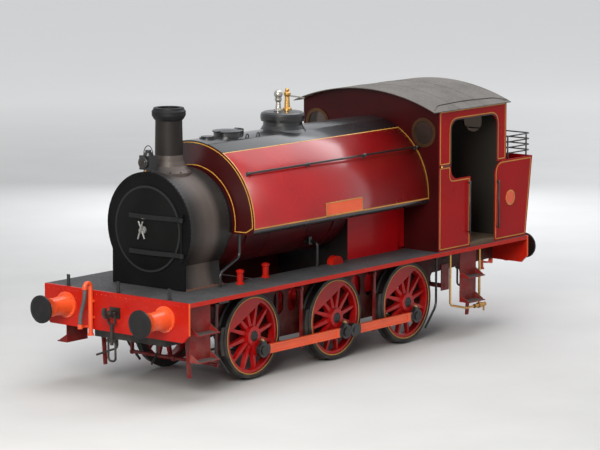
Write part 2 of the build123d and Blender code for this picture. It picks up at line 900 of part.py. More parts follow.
lid_hinge_x = filler_x - lid_dia / 2 - 32
lid_hinge_z = lid_low + 12
for side in (-1, 1):
    lug = block(lid_hinge_x - 16, lid_hinge_x + 16, side * 48, side * 72, tank_top - 30, lid_hinge_z)
    lug += bar_y(side * 48, side * 72, lid_hinge_x, lid_hinge_z, 16)
    tank += lug
tank += bar_y(-72, 72, lid_hinge_x, lid_hinge_z, 9)
keep("saddle_tank", tank)

hatch_x = 1715
hatch = bar_z(tank_top - 60, tank_top + 14, hatch_x, 0, 112)
hatch += bar_z(tank_top + 14, tank_top + 28, hatch_x, 0, 90)
keep("tank_hatch", hatch - tank_body)

lid = bar_z(lid_low, lid_low + 16, filler_x, 0, lid_dia / 2)
lid += turned_z(filler_x, 0, (lid_dia / 2 - 30, lid_low + 16), (60, lid_low + 30))
lid += block(lid_hinge_x, filler_x, -36, 36, lid_low, lid_low + 22)
lid += bar_y(-36, 36, lid_hinge_x, lid_hinge_z, 18)
lid -= bar_y(-40, 40, lid_hinge_x, lid_hinge_z, 9 + pin_clearance)
lid += block(filler_x + 150, filler_x + 240, -14, 14, lid_low + 4, lid_low + 22)
keep("filler_lid", lid)

dome = turned_z(
    dome_x,
    0,
    (345, tank_top - 120),
    (345, tank_top - 66),
    (300, tank_top - 10),
    (272, tank_top + 40),
    (268, tank_top + 90),
    (300, tank_top + 98),
    (308, tank_top + 130),
    (308, tank_top + 176),
    (296, tank_top + 204),
    (262, tank_top + 222),
    (120, tank_top + 236),
)
dome -= tank_body
dome_peak = tank_top + 236
keep("dome_cover", dome)

valves = []
valve_rows = (
    # place from the dome's axis, height of the column, radius of the ball on it
    (95, 190, 60),
    (-95, 250, 30),
)
for offset_x, column, ball in valve_rows:
    rings = (
        (62, dome_peak),
        (62, dome_peak + 22),
        (40, dome_peak + 34),
        (32, dome_peak + column - 70),
        (48, dome_peak + column - 40),
        (48, dome_peak + column - 14),
        (28, dome_peak + column),
    )
    valve = turned_z(dome_x + offset_x, 0, *rings)
    valve += Pos(dome_x + offset_x, 0, dome_peak + column + 0.7 * ball) * Sphere(ball)
    valves.append(valve)
lever_face = outline(
    (dome_x - 95, dome_peak + 186),
    (dome_x - 460, dome_peak + 122),
    (dome_x - 460, dome_peak + 142),
    (dome_x - 95, dome_peak + 208),
)
valves[1] += side_plate(lever_face, -9, 9)
keep("safety_valves", valves)

rail_z = 2778
tank_side = sqrt(tank_radius**2 - (rail_z - tank_centre) ** 2)
rail_y = tank_side + 62
rail_radius = 17
rail_front = 1880
rail_posts = (rail_front - 30, 640, -560, cab_front + 60)
rail = bar_x(cab_front + sheet, rail_front, rail_y, rail_z, rail_radius)
rail += [bar_y(tank_side - 40, rail_y, post_x, rail_z, 14) for post_x in rail_posts]
rail += [bar_x(post_x - 22, post_x + 22, rail_y, rail_z, rail_radius + 9) for post_x in rail_posts]
rails = pair(rail - tank_body)


# Cab

roof_rise = roof_peak - roof_edge
roof_radius = (roof_half**2 + roof_rise**2) / (2 * roof_rise)
roof_centre = roof_peak - roof_radius
roof_outer = Pos(0, roof_centre) * Circle(roof_radius)
roof_inner = Pos(0, roof_centre) * Circle(roof_radius - roof_thick)
roof_band = Pos(0, roof_peak) * Rectangle(2 * roof_half, 2 * (roof_rise + 40))
roof = cross_plate((roof_outer - roof_inner) & roof_band, roof_rear, roof_front)
keep("cab_roof", roof)


def under_roof(x0, x1, half, low):
    """The space below the roof between two cross planes."""
    column = block(x0, x1, -half, half, low, roof_peak)
    return column & bar_x(x0, x1, 0, roof_centre, roof_radius - roof_thick)


front_sheet = under_roof(cab_front, cab_front + sheet, cab_half, deck_top)
firebox_hole = cross_plate(back_section, cab_front - 1, cab_front + sheet + 1)
front_sheet -= firebox_hole
for side in (-1, 1):
    front_sheet -= bar_x(cab_front - 1, cab_front + sheet + 1, side * window_y, window_height, window_dia / 2)
keep("cab_front", front_sheet)

rear_sheet = under_roof(cab_rear, cab_rear + sheet, cab_half - sheet, deck_top)
for side in (-1, 1):
    hole = bar_x(cab_rear - 1, cab_rear + sheet + 1, side * rear_window_y, window_height, window_dia / 2)
    rear_sheet -= hole
keep("cab_rear", rear_sheet)

side_in = cab_half - sheet
upper_side = face_of(
    Polyline(
        (cab_front, waist_height),
        (cab_front, roof_peak),
        (cab_rear, roof_peak),
        (cab_rear, bunker_top),
        (opening_rear, bunker_top),
        (opening_rear, opening_top - 150),
    ),
    ThreePointArc(
        (opening_rear, opening_top - 150),
        (opening_rear + 44, opening_top - 44),
        (opening_rear + 150, opening_top),
    ),
    Polyline((opening_rear + 150, opening_top), (opening_front - 150, opening_top)),
    ThreePointArc(
        (opening_front - 150, opening_top),
        (opening_front - 44, opening_top - 44),
        (opening_front, opening_top - 150),
    ),
    Polyline((opening_front, opening_top - 150), (opening_front, waist_height), (cab_front, waist_height)),
)
upper = side_plate(upper_side, side_in, cab_half) & under_roof(cab_rear, cab_front, cab_half, deck_top)
upper -= front_sheet
keep("cab_upper_sides", pair(upper))

sill_turn = 150
lower_side = face_of(
    Polyline(
        (cab_front, waist_height),
        (opening_front, waist_height),
        (opening_front, sill_height + sill_turn),
    ),
    ThreePointArc(
        (opening_front, sill_height + sill_turn),
        (opening_front - 44, sill_height + 44),
        (opening_front - sill_turn, sill_height),
    ),
    Polyline(
        (opening_front - sill_turn, sill_height),
        (door_front, sill_height),
        (door_front, deck_top),
        (cab_front, deck_top),
        (cab_front, waist_height),
    ),
)
lower = side_plate(lower_side, side_in, cab_half)
lower -= front_sheet
keep("cab_lower_sides", pair(lower))

bunker_turn = 190
bunker_side_face = face_of(
    Polyline(
        (rear_end, deck_top),
        (door_rear, deck_top),
        (door_rear, bunker_top - bunker_turn),
    ),
    ThreePointArc(
        (door_rear, bunker_top - bunker_turn),
        (door_rear - 56, bunker_top - 56),
        (door_rear - bunker_turn, bunker_top),
    ),
    Polyline((door_rear - bunker_turn, bunker_top), (bunker_top_rear, bunker_top), (rear_end, deck_top)),
)
bunker = side_plate(bunker_side_face, side_in, cab_half)
bunker += mirrored(bunker)
back_face_side = outline(
    (rear_end, deck_top),
    (bunker_top_rear, bunker_top),
    (bunker_top_rear + sheet, bunker_top),
    (rear_end + sheet, deck_top),
)
bunker += side_plate(back_face_side, -cab_half, cab_half)
bunker_floor = 1700
bunker += block(cab_rear, rear_end + 30, -side_in, side_in, bunker_floor, bunker_floor + 10)
keep("bunker", bunker)

coal_y = side_in - 16
coal_x = bunker_top_rear + sheet + 16
coal_parts = []
for bar_number in range(4):
    bar_height = bunker_top + coal_rail_rise * (bar_number + 1) / 4
    route = [
        (cab_rear, coal_y, bar_height),
        (coal_x, coal_y, bar_height),
        (coal_x, -coal_y, bar_height),
        (cab_rear, -coal_y, bar_height),
    ]
    coal_parts.append(tube(route, 60, 10))
post_top = bunker_top + coal_rail_rise + 14
post_low = bunker_top - 120
for post_x in (coal_x + 110, cab_rear - 60):
    coal_parts += pair(block(post_x - 18, post_x + 18, side_in - 14, side_in, post_low, post_top))
back_post = outline(
    (bunker_back(post_low) + sheet, post_low),
    (bunker_top_rear + sheet, bunker_top),
    (bunker_top_rear + sheet, post_top),
    (coal_x, post_top),
    (coal_x, bunker_top),
    (bunker_back(post_low) + sheet + 16, post_low),
)
for post_y in (-600, 0, 600):
    coal_parts.append(side_plate(back_post, post_y - 18, post_y + 18))
rails.append(coal_parts[0] + coal_parts[1:])

grab_radius = 12
grab_y = cab_half + 36
grab_rows = (
    # length, lower end, upper end
    (door_front + 55, 1480, sill_height - 60),
    (door_rear - 55, 1480, sill_height - 120),
)
for grab_x, grab_low, grab_high in grab_rows:
    grab = bar_z(grab_low, grab_high, grab_x, grab_y, grab_radius)
    for foot_z in (grab_low + 30, grab_high - 30):
        grab += bar_y(cab_half, grab_y, grab_x, foot_z, grab_radius - 2)
    rails += pair(grab)
keep("handrails", rails)

floor_plate = block(cab_rear + sheet, backhead, -side_in, side_in, deck_top, floor_height)
keep("cab_floor", floor_plate)

rims = []
glass = []
window_rows = [(cab_front + sheet, window_y, 1), (cab_rear, rear_window_y, -1)]
for face_x, y_off, way in window_rows:
    for side in (-1, 1):
        rim_x = (face_x, face_x + way * 14)
        rim = bar_x(rim_x[0], rim_x[1], side * y_off, window_height, rim_dia / 2)
        rim -= bar_x(rim_x[0] - 20, rim_x[1] + 20, side * y_off, window_height, window_dia / 2 - 12)
        rims.append(rim)
        pane_x = (face_x - way * sheet, face_x)
        glass.append(bar_x(pane_x[0], pane_x[1], side * y_off, window_height, window_dia / 2))
keep("window_rims", rims)
keep("window_glass", glass)

controls = []
regulator = bar_x(backhead - 120, backhead, 0, regulator_height, 26)
regulator += Pos(backhead - 110, 0, regulator_height) * Rot(35, 0, 0) * block(-12, 12, -18, 18, -40, 420)
controls.append(regulator)
glass_low = boiler_height - 10
glass_high = boiler_height + 330
for gauge_y in (-170, 170):
    controls.append(bar_x(backhead - 40, backhead, gauge_y, gauge_height, 80))
    glass_y = 1.7 * gauge_y
    column = bar_z(glass_low, glass_high, backhead - 50, glass_y, 13)
    for arm_z in (glass_low + 30, glass_high - 30):
        column += bar_x(backhead - 50, backhead, glass_y, arm_z, 20)
    controls.append(column)
valve_x = backhead - 60
manifold = bar_y(-250, 250, valve_x, valve_height, 24)
for valve_y in (-225, 225):
    manifold += bar_x(valve_x, backhead, valve_y, valve_height, 20)
    manifold += bar_x(valve_x - 76, valve_x, valve_y, valve_height, 10)
    manifold += bar_x(valve_x - 76, valve_x - 64, valve_y, valve_height, 46)
controls.append(manifold)
lever_x = backhead - 165
lever_face = outline(
    (lever_x - 30, floor_height),
    (lever_x + 30, floor_height),
    (lever_x - 80, waist_height - 320),
    (lever_x - 110, waist_height - 320),
)
controls.append(side_plate(lever_face, -820, -790))
wheel_x = cab_rear + 450
brake_post = bar_z(floor_height, waist_height - 300, wheel_x, -850, 32)
brake_post += bar_y(-1010, -690, wheel_x, waist_height - 320, 16)
controls.append(brake_post)
keep("cab_controls", controls)


# Steps, guard irons, brakes, springs and the rest below

step_rows = (
    # x from, x to, heights of the treads
    (front_step_rear, front_step_front, (upper_tread, lower_tread)),
    (cab_step_rear, cab_step_front, (upper_tread, lower_tread)),
)
step_back = deck_half - step_inset
tread_out = deck_half - tread_inset
steps = []
for x0, x1, heights in step_rows:
    stair = block(x0, x1, step_back, step_back + 10, heights[1] - 14, deck_low)
    for tread_z in heights:
        stair += block(x0, x1, step_back, tread_out, tread_z - 14, tread_z)
        gusset = outline(
            (step_back + 5, tread_z - 7),
            (tread_out - 27, tread_z - 7),
            (tread_out - 27, tread_z + 8),
            (step_back + 20, tread_z + 90),
            (step_back + 5, tread_z + 90),
        )
        for end_x in (x0 + 6, x1 - 16):
            stair += cross_plate(gusset, end_x, end_x + 10)
    steps += pair(stair)
keep("steps", steps)

guards = []
guard_high = frame_end_low + 90
for foot_x, top_x in ((guard_front, guard_front + 60), (guard_rear, guard_rear - 70)):
    iron_face = outline(
        (foot_x - 30, guard_low), (foot_x + 30, guard_low), (top_x + 40, guard_high), (top_x - 40, guard_high)
    )
    guard = side_plate(iron_face, guard_y, guard_y + 22)
    guard += block(top_x - 40, top_x + 40, frame_out, guard_y, guard_high - 50, guard_high)
    guards += pair(guard)
keep("guard_irons", guards)

hangers = []
shoes = []
blocks_in = back_face + 35
shoe_in = tread_radius + block_clear
shoe_out = shoe_in + shoe_thick
hanger_x = shoe_out + 19
beam_height = axle_height - brake_beam_drop
for axle_x in axles.values():
    centre = Pos(axle_x, 0, axle_height)
    shoe_ring = bar_y(blocks_in, tyre_face - 10, 0, 0, shoe_out) - bar_y(0, 1000, 0, 0, shoe_in)
    strap_y = (blocks_in + 22, tyre_face - 50)
    strap = block(hanger_x - 25, hanger_x + 25, *strap_y, -brake_beam_drop, brake_pivot_rise)
    strap += [bar_y(*strap_y, hanger_x, end, 38) for end in (-brake_beam_drop, brake_pivot_rise)]
    strap -= bar_y(0, 1000, hanger_x, -brake_beam_drop, 24 + pin_clearance)
    shoe = (shoe_ring & block(0, shoe_out, 0, 1000, -190, 190)) - strap
    pivot = bar_y(frame_out, tyre_face - 38, hanger_x, brake_pivot_rise, 22)
    shoes += pair(centre * shoe)
    hangers += pair(centre * (strap + pivot))
keep("brake_hangers", hangers)
keep("brake_blocks", shoes)

rigging = []
for axle_x in axles.values():
    rigging.append(bar_y(-tyre_face + 38, tyre_face - 38, axle_x + hanger_x, beam_height, 24))
    rigging.append(bar_y(-26, 26, axle_x + hanger_x, beam_height, 42))
rod_end = brake_shaft_x - 60
rigging.append(bar_x(rod_end, axle_front + hanger_x, 0, beam_height, 17))
arm = outline(
    (brake_shaft_x - 44, brake_shaft_height),
    (rod_end - 28, beam_height - 26),
    (rod_end + 28, beam_height - 26),
    (brake_shaft_x + 44, brake_shaft_height),
)
rigging.append(side_plate(arm, -14, 14))
rigging.append(bar_y(-frame_out - 20, frame_out + 20, brake_shaft_x, brake_shaft_height, 34))
pump_x = brake_shaft_x - 160
pump_low = brake_shaft_height + 180
pump_arm = outline(
    (brake_shaft_x, brake_shaft_height - 36),
    (brake_shaft_x, brake_shaft_height + 36),
    (pump_x - 20, brake_shaft_height + 22),
    (pump_x - 20, brake_shaft_height - 22),
)
rigging.append(side_plate(pump_arm, pump_y - 13, pump_y + 13))
rigging.append(bar_z(brake_shaft_height, pump_low + 20, pump_x, pump_y, 17))
pump_foot = deck_low - 22
pump_rings = ((70, pump_low), (112, pump_low + 16), (112, pump_foot), (140, pump_foot), (140, deck_low))
rigging.append(turned_z(pump_x, pump_y, *pump_rings))
gear = rigging[0] + rigging[1:]
bearing_x = (brake_shaft_x - 90, brake_shaft_x + 90)
bearing = block(*bearing_x, frame_out, frame_out + 14, brake_shaft_height - 60, frame_end_low + 130)
bearing -= bar_y(0, 1000, brake_shaft_x, brake_shaft_height, 34 + pin_clearance)
keep("brake_rigging", [gear] + pair(bearing))

boxes = []
box_top = axle_height + horn_rise - 22
for axle_x in axles.values():
    box = block(
        axle_x - horn_gap / 2, axle_x + horn_gap / 2, frame_in - 30, frame_out + 14, frame_low, box_top
    )
    keep_half = horn_gap / 2 + 70
    box += block(axle_x - keep_half, axle_x + keep_half, frame_in, frame_out, frame_low - 26, frame_low)
    spring_y = (frame_in - 90, frame_in - 4)
    for leaf in range(4):
        reach = 390 - 75 * leaf
        leaf_top = frame_low - 46 - 16 * leaf
        box += block(axle_x - reach, axle_x + reach, *spring_y, leaf_top - 16, leaf_top)
    box += block(axle_x - 50, axle_x + 50, *spring_y, frame_low - 126, frame_low)
    box -= bar_y(0, 1000, axle_x, axle_height, axle_dia / 2 + axle_clearance)
    for end in (-1, 1):
        link_x = (axle_x + end * 365 - 14, axle_x + end * 365 + 14)
        box += block(*link_x, frame_in - 60, frame_in - 30, frame_low - 50, frame_low + 80)
        box += block(*link_x, frame_in - 60, frame_in, frame_low + 50, frame_low + 80)
    boxes += pair(box)
keep("axleboxes", boxes)

cylinder = block(cylinder_rear, cylinder_front, -frame_in, frame_in, cylinder_low, cylinder_top)
chest_half = frame_in - 80
cylinder += block(cylinder_rear + 50, cylinder_front - 50, -chest_half, chest_half, cylinder_top, deck_low)
for cover_y in (-inside_spacing / 2, inside_spacing / 2):
    cylinder += bar_x(cylinder_rear - 40, cylinder_rear, cover_y, slide_height, cylinder_bore / 2 + 10)
    cylinder += bar_x(cylinder_rear - 110, cylinder_rear, cover_y, slide_height, 60)
    drain_y = cover_y * 1.3
    drain = [
        (cylinder_front - 140, drain_y, cylinder_low + 10),
        (cylinder_front - 140, drain_y, 470),
        (cylinder_front + 120, drain_y * 1.4, 400),
    ]
    cylinder += tube(drain, 50, 14)
keep("cylinder_block", cylinder)

sand = []
sand_y = tyre_face - 23
for axle_x, way in ((axle_front, 1), (axle_rear, -1)):
    box_x = axle_x + way * sand_offset
    sand_x = box_x + way * 40
    sand_box = block(box_x - 100, box_x + 100, 700, 900, sand_box_low, deck_low)
    sand_route = [(sand_x, sand_y, sand_box_low), (sand_x, sand_y, 420), (axle_x + way * 470, sand_y, 130)]
    sand += pair(sand_box + tube(sand_route, 200, 17))
keep("sand_gear", sand)

name_plate = Pos(60, edge_y - 44, 2145) * Rot(tank_flare, 0, 0) * Box(840, 10, 190)
name_plate -= tank_body
round_plate = bar_y(cab_half, cab_half + 8, round_plate_x, round_plate_height, round_plate_dia / 2)
keep("blank_plates", pair(name_plate) + pair(round_plate))

pot_rings = ((58, 0), (58, 16), (42, 26), (42, 150), (54, 158), (54, 184), (20, 200))
fittings = []
for pot_x, pot_y in (front_pots, rear_pots):
    fittings += pair(turned_z(pot_x, pot_y, *[(radius, deck_top + rise) for radius, rise in pot_rings]))
cover = bar_y(frame_out, frame_out + 110, cover_x, deck_top, 112)
cover -= block(cover_x - 200, cover_x + 200, 0, deck_half, deck_top - 200, deck_top)
keep("deck_fittings", fittings + pair(cover))

clack = bar_y(400, clack_y, clack_x, clack_height, 36)
clack += bar_z(clack_height - 46, clack_height + 62, clack_x, clack_y, 32)
pipe_out = frame_out + 40
feed = [
    (clack_x, clack_y, clack_height),
    (clack_x, pipe_out, clack_height),
    (clack_x, pipe_out, deck_top),
]
clack += tube(feed, 60, 19)
clack -= bar_x(0, 500, 0, boiler_height, boiler_radius)
steam_x = tank_front - 120
steam_foot_x = barrel_front + 230
steam_route = [
    (steam_x, 700, tank_low),
    (steam_x, 700, tank_low - 325),
    (steam_foot_x, 740, deck_top + 185),
    (steam_foot_x, 740, deck_top),
]
steam_pipe = tube(steam_route, 90, 20)
keep("feed_pipes", pair(clack) + pair(steam_pipe))

injector_y = step_back - 44
delivery_x = injector_x + 690
injector = bar_x(injector_x - 150, injector_x + 110, injector_y, injector_height, 30)
injector += bar_x(injector_x - 40, injector_x + 20, injector_y, injector_height, 40)
injector += bar_z(injector_height, deck_low, injector_x - 10, injector_y, 18)
delivery = [
    (injector_x + 100, injector_y, injector_height),
    (injector_x + 300, injector_y, injector_height),
    (delivery_x, injector_y, injector_height + 90),
    (delivery_x, injector_y, deck_low),
]
injector += tube(delivery, 70, 16)
injector += bar_z(injector_height - 90, injector_height, injector_x - 120, injector_y, 14)
keep("injectors", pair(injector))

for node, shape in made.items():
    write(node, shape)
print(len(made), "nodes written")
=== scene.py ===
# %% [markdown]
# This scene dresses a saddle tank steam locomotive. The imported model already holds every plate,
# wheel and pipe at its real size, so Blender's job is paint, polish, heat and oil, and the small
# trim that a painter or a boilersmith adds last: gold lines, rivets, beading and oil cups.
# All lengths are metres. X runs forward to the chimney end, Y to the left, and Z up.

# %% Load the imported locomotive
import json
from math import asin, cos, pi, radians, sin, sqrt
import bmesh
import bpy
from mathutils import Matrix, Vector


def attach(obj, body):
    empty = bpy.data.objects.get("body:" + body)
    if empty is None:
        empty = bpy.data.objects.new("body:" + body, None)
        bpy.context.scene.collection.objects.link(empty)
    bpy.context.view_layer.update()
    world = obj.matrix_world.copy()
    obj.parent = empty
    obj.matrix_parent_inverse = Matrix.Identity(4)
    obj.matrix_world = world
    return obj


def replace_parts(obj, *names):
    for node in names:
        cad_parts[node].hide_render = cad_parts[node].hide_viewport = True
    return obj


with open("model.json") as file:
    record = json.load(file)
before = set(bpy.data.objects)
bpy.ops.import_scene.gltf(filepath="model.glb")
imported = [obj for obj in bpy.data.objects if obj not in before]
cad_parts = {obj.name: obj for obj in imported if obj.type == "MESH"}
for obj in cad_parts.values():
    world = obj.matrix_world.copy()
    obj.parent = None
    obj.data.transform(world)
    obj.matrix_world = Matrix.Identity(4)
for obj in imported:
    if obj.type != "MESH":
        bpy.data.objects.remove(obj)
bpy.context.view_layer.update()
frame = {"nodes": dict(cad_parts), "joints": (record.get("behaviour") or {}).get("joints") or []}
scene = bpy.context.scene

# %% [markdown]
# The works drawing of a locomotive measures lengths from an axle and heights from the rail head.
# The joint of the middle axle says where that axle is in the frame, and the tread radius gives the
# rail head below it. With these two, a place on the drawing becomes a point of the frame.

# %% Find the middle axle and the rail head
joints = {joint["name"]: joint for joint in frame["joints"]}
middle_axle = Vector(joints["wheels_middle_turn"]["pos_m"])
tread_radius = 0.5715
rail_head = middle_axle.z - tread_radius
axle_front = joints["wheels_front_turn"]["pos_m"][0] - middle_axle.x
axle_rear = joints["wheels_rear_turn"]["pos_m"][0] - middle_axle.x


def at(length, side, height):
    """A point of the frame from the drawing's length, side and height."""
    return Vector((middle_axle.x + length, side, rail_head + height))


forward, sideways, upright = Vector((1, 0, 0)), Vector((0, 1, 0)), Vector((0, 0, 1))
print("rail head", round(rail_head, 4), "axles", round(axle_front, 3), round(axle_rear, 3))

# %% [markdown]
# A material in Blender is a tree of small nodes with wires between them. Two helpers make a node and
# fill its inputs, whether with a number or with another node's output, and a third begins a material.

# %% Nodes, wires and materials
def add_node(tree, kind, **settings):
    """A node of that kind with its settings filled in."""
    node = tree.nodes.new(kind)
    for name, value in settings.items():
        setattr(node, name, value)
    return node


def wire(tree, node, inputs):
    """Fills a node's inputs: another node's output is wired in, and a plain value is written in."""
    for socket, value in inputs.items():
        if isinstance(value, bpy.types.NodeSocket):
            tree.links.new(value, node.inputs[socket])
        else:
            node.inputs[socket].default_value = value


def new_material(name):
    """A new material, with its tree of nodes and its shader."""
    material = bpy.data.materials.new(name)
    material.use_nodes = True
    return material, material.node_tree, material.node_tree.nodes["Principled BSDF"]


print("node helpers ready")

# %% [markdown]
# Each helper here makes one kind of node and hands back its output. So a finish reads like a recipe:
# noise goes into a ramp, the ramp into a mix of two colours, and the mix into the shader.

# %% Noise, ramps and mixes
def noise(tree, coords, scale, detail, stretch=None):
    """A noise texture on the object's own coordinates, stretched where a finish has a direction."""
    if stretch:
        mapping = add_node(tree, "ShaderNodeMapping")
        wire(tree, mapping, {"Scale": stretch, "Vector": coords})
        coords = mapping.outputs["Vector"]
    texture = add_node(tree, "ShaderNodeTexNoise")
    wire(tree, texture, {"Scale": scale, "Detail": detail, "Vector": coords})
    return texture.outputs["Fac"]


def ramp(tree, value, low, high, start=0.0, end=1.0):
    """Maps a value from low..high to start..end, and stops at both ends."""
    node = add_node(tree, "ShaderNodeMapRange", clamp=True)
    wire(tree, node, {"Value": value, "From Min": low, "From Max": high, "To Min": start, "To Max": end})
    return node.outputs["Result"]


def mix(tree, share, first, second):
    """Mixes two colours, or the colour so far with a new one, by a share."""
    node = add_node(tree, "ShaderNodeMix", data_type="RGBA")
    colours = [(*colour, 1.0) if isinstance(colour, tuple) else colour for colour in (first, second)]
    wire(tree, node, {"Factor": share, 6: colours[0], 7: colours[1]})
    return node.outputs[2]


def calculate(tree, operation, first, second=0.0):
    """One step of arithmetic, on one or two values."""
    node = add_node(tree, "ShaderNodeMath", operation=operation)
    wire(tree, node, {0: first, 1: second})
    return node.outputs[0]


def multiply(tree, first, second):
    """Multiplies two values."""
    return calculate(tree, "MULTIPLY", first, second)


def split(tree, vector):
    """The three parts of a vector."""
    node = add_node(tree, "ShaderNodeSeparateXYZ")
    wire(tree, node, {"Vector": vector})
    return node.outputs


print("recipe helpers ready")

# %% [markdown]
# Paint on a working engine is never one flat colour. A coat of gloss has faint clouds where it was
# brushed, dust lies on it from the bottom up, and the shine changes with the grime. A noise texture
# can carry all three: large for the clouds, smaller for the dust, and as fine as each finish asks for
# the grain. The places come from object coordinates, which stay on the metal when a wheel turns.

# %% A helper that wires a finish
dust = (0.20, 0.165, 0.13)
dust_low, dust_high = 0.05, 1.6
cloud_scale, patch_scale = 2.3, 7.0


def finish(name, colour, cloud, rough, metal=0.0, coat=0.0, grime=0.25, grain=60.0, bump=0.0006,
           stretch=None, areas=None, shine=0.5, coat_rough=0.09):
    """A painted or bare metal finish: colour with clouds of a second colour, dust low down, and grain."""
    material, tree, shader = new_material(name)
    place = add_node(tree, "ShaderNodeTexCoord")
    coords = place.outputs["Object"]
    where = split(tree, coords)
    clouds = ramp(tree, noise(tree, coords, cloud_scale, 6.0, stretch), 0.38, 0.68)
    paint = mix(tree, clouds, colour, cloud)
    if areas:
        paint = areas(tree, where, split(tree, place.outputs["Normal"]), paint)
    low = ramp(tree, where["Z"], dust_low, dust_high, 1.0, 0.0)
    patches = ramp(tree, noise(tree, coords, patch_scale, 8.0), 0.42, 0.75)
    dirty = multiply(tree, multiply(tree, low, patches), grime)
    fine = noise(tree, coords, grain, 3.0, stretch)
    wire(tree, shader, {
        "Base Color": mix(tree, dirty, paint, dust), "Metallic": metal, "Specular IOR Level": shine,
        "Coat Weight": coat, "Coat Roughness": coat_rough,
        "Roughness": ramp(tree, fine, 0.3, 0.7, rough * 0.8, min(1.0, rough * 1.25)),
    })
    if bump:
        relief = add_node(tree, "ShaderNodeBump")
        wire(tree, relief, {"Strength": 0.35, "Distance": bump, "Height": fine})
        wire(tree, shader, {"Normal": relief.outputs["Normal"]})
    return material


print("finish helper ready")

# %% [markdown]
# The tank is one casing with three colours: bright red sides, a nearly black top between two gold
# lines, and a dark maroon front plate. Cutting the casing in three would open seams that the real
# one lacks, so the colours are chosen inside the material, by where a point lies and which way it faces.

# %% The tank's three colours
maroon = (0.040, 0.0025, 0.003)
soft_black = (0.014, 0.014, 0.015)
tank_black = (0.020, 0.021, 0.023)
tank_top_half = 0.52
neck_bottom, neck_side = 3.100, 0.255


def step(tree, value, edge, soft=0.002):
    """One above the edge and nothing below it, with a very short blur."""
    return ramp(tree, value, edge - soft, edge + soft)


def absolute(tree, value):
    """A value without its sign."""
    return calculate(tree, "ABSOLUTE", value)


def tank_areas(tree, where, facing, paint):
    """Black on the top, maroon on the front plate and black below, over the red sides."""
    across = absolute(tree, where["Y"])
    on_top = multiply(tree, ramp(tree, across, tank_top_half - 0.002, tank_top_half, 1.0, 0.0),
                      step(tree, facing["Z"], 0.5, 0.05))
    paint = mix(tree, on_top, paint, tank_black)
    paint = mix(tree, step(tree, facing["X"], 0.8, 0.05), paint, maroon)
    neck = multiply(tree, step(tree, where["Z"], rail_head + neck_bottom),
                    ramp(tree, across, neck_side - 0.005, neck_side + 0.005, 1.0, 0.0))
    paint = mix(tree, neck, paint, soft_black)
    return mix(tree, ramp(tree, facing["Z"], -0.25, -0.12, 1.0, 0.0), paint, soft_black)


print("tank colours ready")

# %% [markdown]
# Other pieces change colour with the way a face looks. Treads are scuffed grey on red steps, the
# footplate is grey over a scarlet valance, and the cab's sheets are dull and dark inside. One recipe
# makes most of these. It takes the part of the outward direction to look at, where the colour starts
# and where it is full, and hands back a function that lays its area on the paint so far.

# %% Colours by the way a face looks
scarlet = (0.46, 0.012, 0.004)
vermilion = (0.82, 0.105, 0.022)
inside_dark = (0.030, 0.027, 0.023)
beams_from = 3.3


def on_faces(axis, none, full, colour):
    """Lays a colour on the faces that look along an axis, from none of it to all of it."""
    def areas(tree, where, facing, paint):
        return mix(tree, ramp(tree, facing[axis], none, full), paint, colour)
    return areas


def deck_areas(tree, where, facing, paint):
    """Scarlet on the valance, where the footplate's edge looks sideways."""
    return mix(tree, step(tree, absolute(tree, facing["Y"]), 0.8, 0.05), paint, scarlet)


# Painted highlight: the end faces of the buffer beams are bright vermilion where their plate edges catch the
# light.
def beam_highlight_edges(tree, where, facing, paint):
    """Painted highlight: brighter vermilion on the end faces of each buffer beam, where the plate edges catch
    the light.
    """
    edges = step(tree, absolute(tree, facing["Y"]), 0.8, 0.05)
    beams = step(tree, absolute(tree, where["X"]), beams_from)
    return mix(tree, multiply(tree, edges, beams), paint, vermilion)


def cab_inside(tree, where, facing, paint):
    """Dull dark paint on the inner face of a side sheet."""
    inward = multiply(tree, where["Y"], facing["Y"])
    return mix(tree, ramp(tree, inward, -0.6, -0.9), paint, inside_dark)


print("face colours ready")

# %% [markdown]
# Other colours follow places instead. The smokebox has a painted highlight, a paler band across its
# middle with both its ends darker, the chimney has a blacker cap, and the buffer rams are bright with
# grease up to their black heads. Each colour starts at a place along the engine, at a height, or at a
# distance from the middle of something round.

# %% Colours by where a point lies
front_end, rear_end = 3.553, -3.900
buffer_reach, head_depth = 0.517, 0.068
# Painted highlight on the smokebox: where its paler band begins, is full, fades and ends.
highlight_start, highlight_full, highlight_fades, highlight_end = 2.270, 2.400, 2.560, 2.780
# Where the painted shade on the barrel's front ring begins.
barrel_shade_from, cap_bottom = 2.000, 3.470


def radius_from(tree, first, second, middle):
    """How far a point lies from an axis, from its two coordinates across that axis."""
    spread = add_node(tree, "ShaderNodeCombineXYZ")
    wire(tree, spread, {"X": first, "Y": second})
    gap = add_node(tree, "ShaderNodeVectorMath", operation="DISTANCE")
    wire(tree, gap, {0: spread.outputs["Vector"], 1: (*middle, 0.0)})
    return gap.outputs["Value"]


def beyond(axis, edge, colour):
    """Lays a colour on all that lies beyond an edge along an axis."""
    def areas(tree, where, facing, paint):
        return mix(tree, step(tree, where[axis], edge, 0.004), paint, colour)
    return areas


def wrapper_areas(tree, where, facing, paint):
    """Painted highlight: a paler band across the middle of the smokebox, where the light runs down the
    wrapper, with both its ends darker.
    """
    rear = ramp(tree, where["X"], middle_axle.x + highlight_start, middle_axle.x + highlight_full, 0.96, 0.0)
    front = ramp(tree, where["X"], middle_axle.x + highlight_fades, middle_axle.x + highlight_end, 0.0, 0.90)
    paint = mix(tree, rear, paint, (0.016, 0.014, 0.013))
    return mix(tree, front, paint, (0.012, 0.011, 0.011))


def ram_areas(tree, where, facing, paint):
    """Bright greasy steel on the buffer rams, black on the heads."""
    head_from = middle_axle.x + front_end + buffer_reach - head_depth
    return mix(tree, step(tree, absolute(tree, where["X"]), head_from), (0.30, 0.29, 0.27), paint)


print("place colours ready")
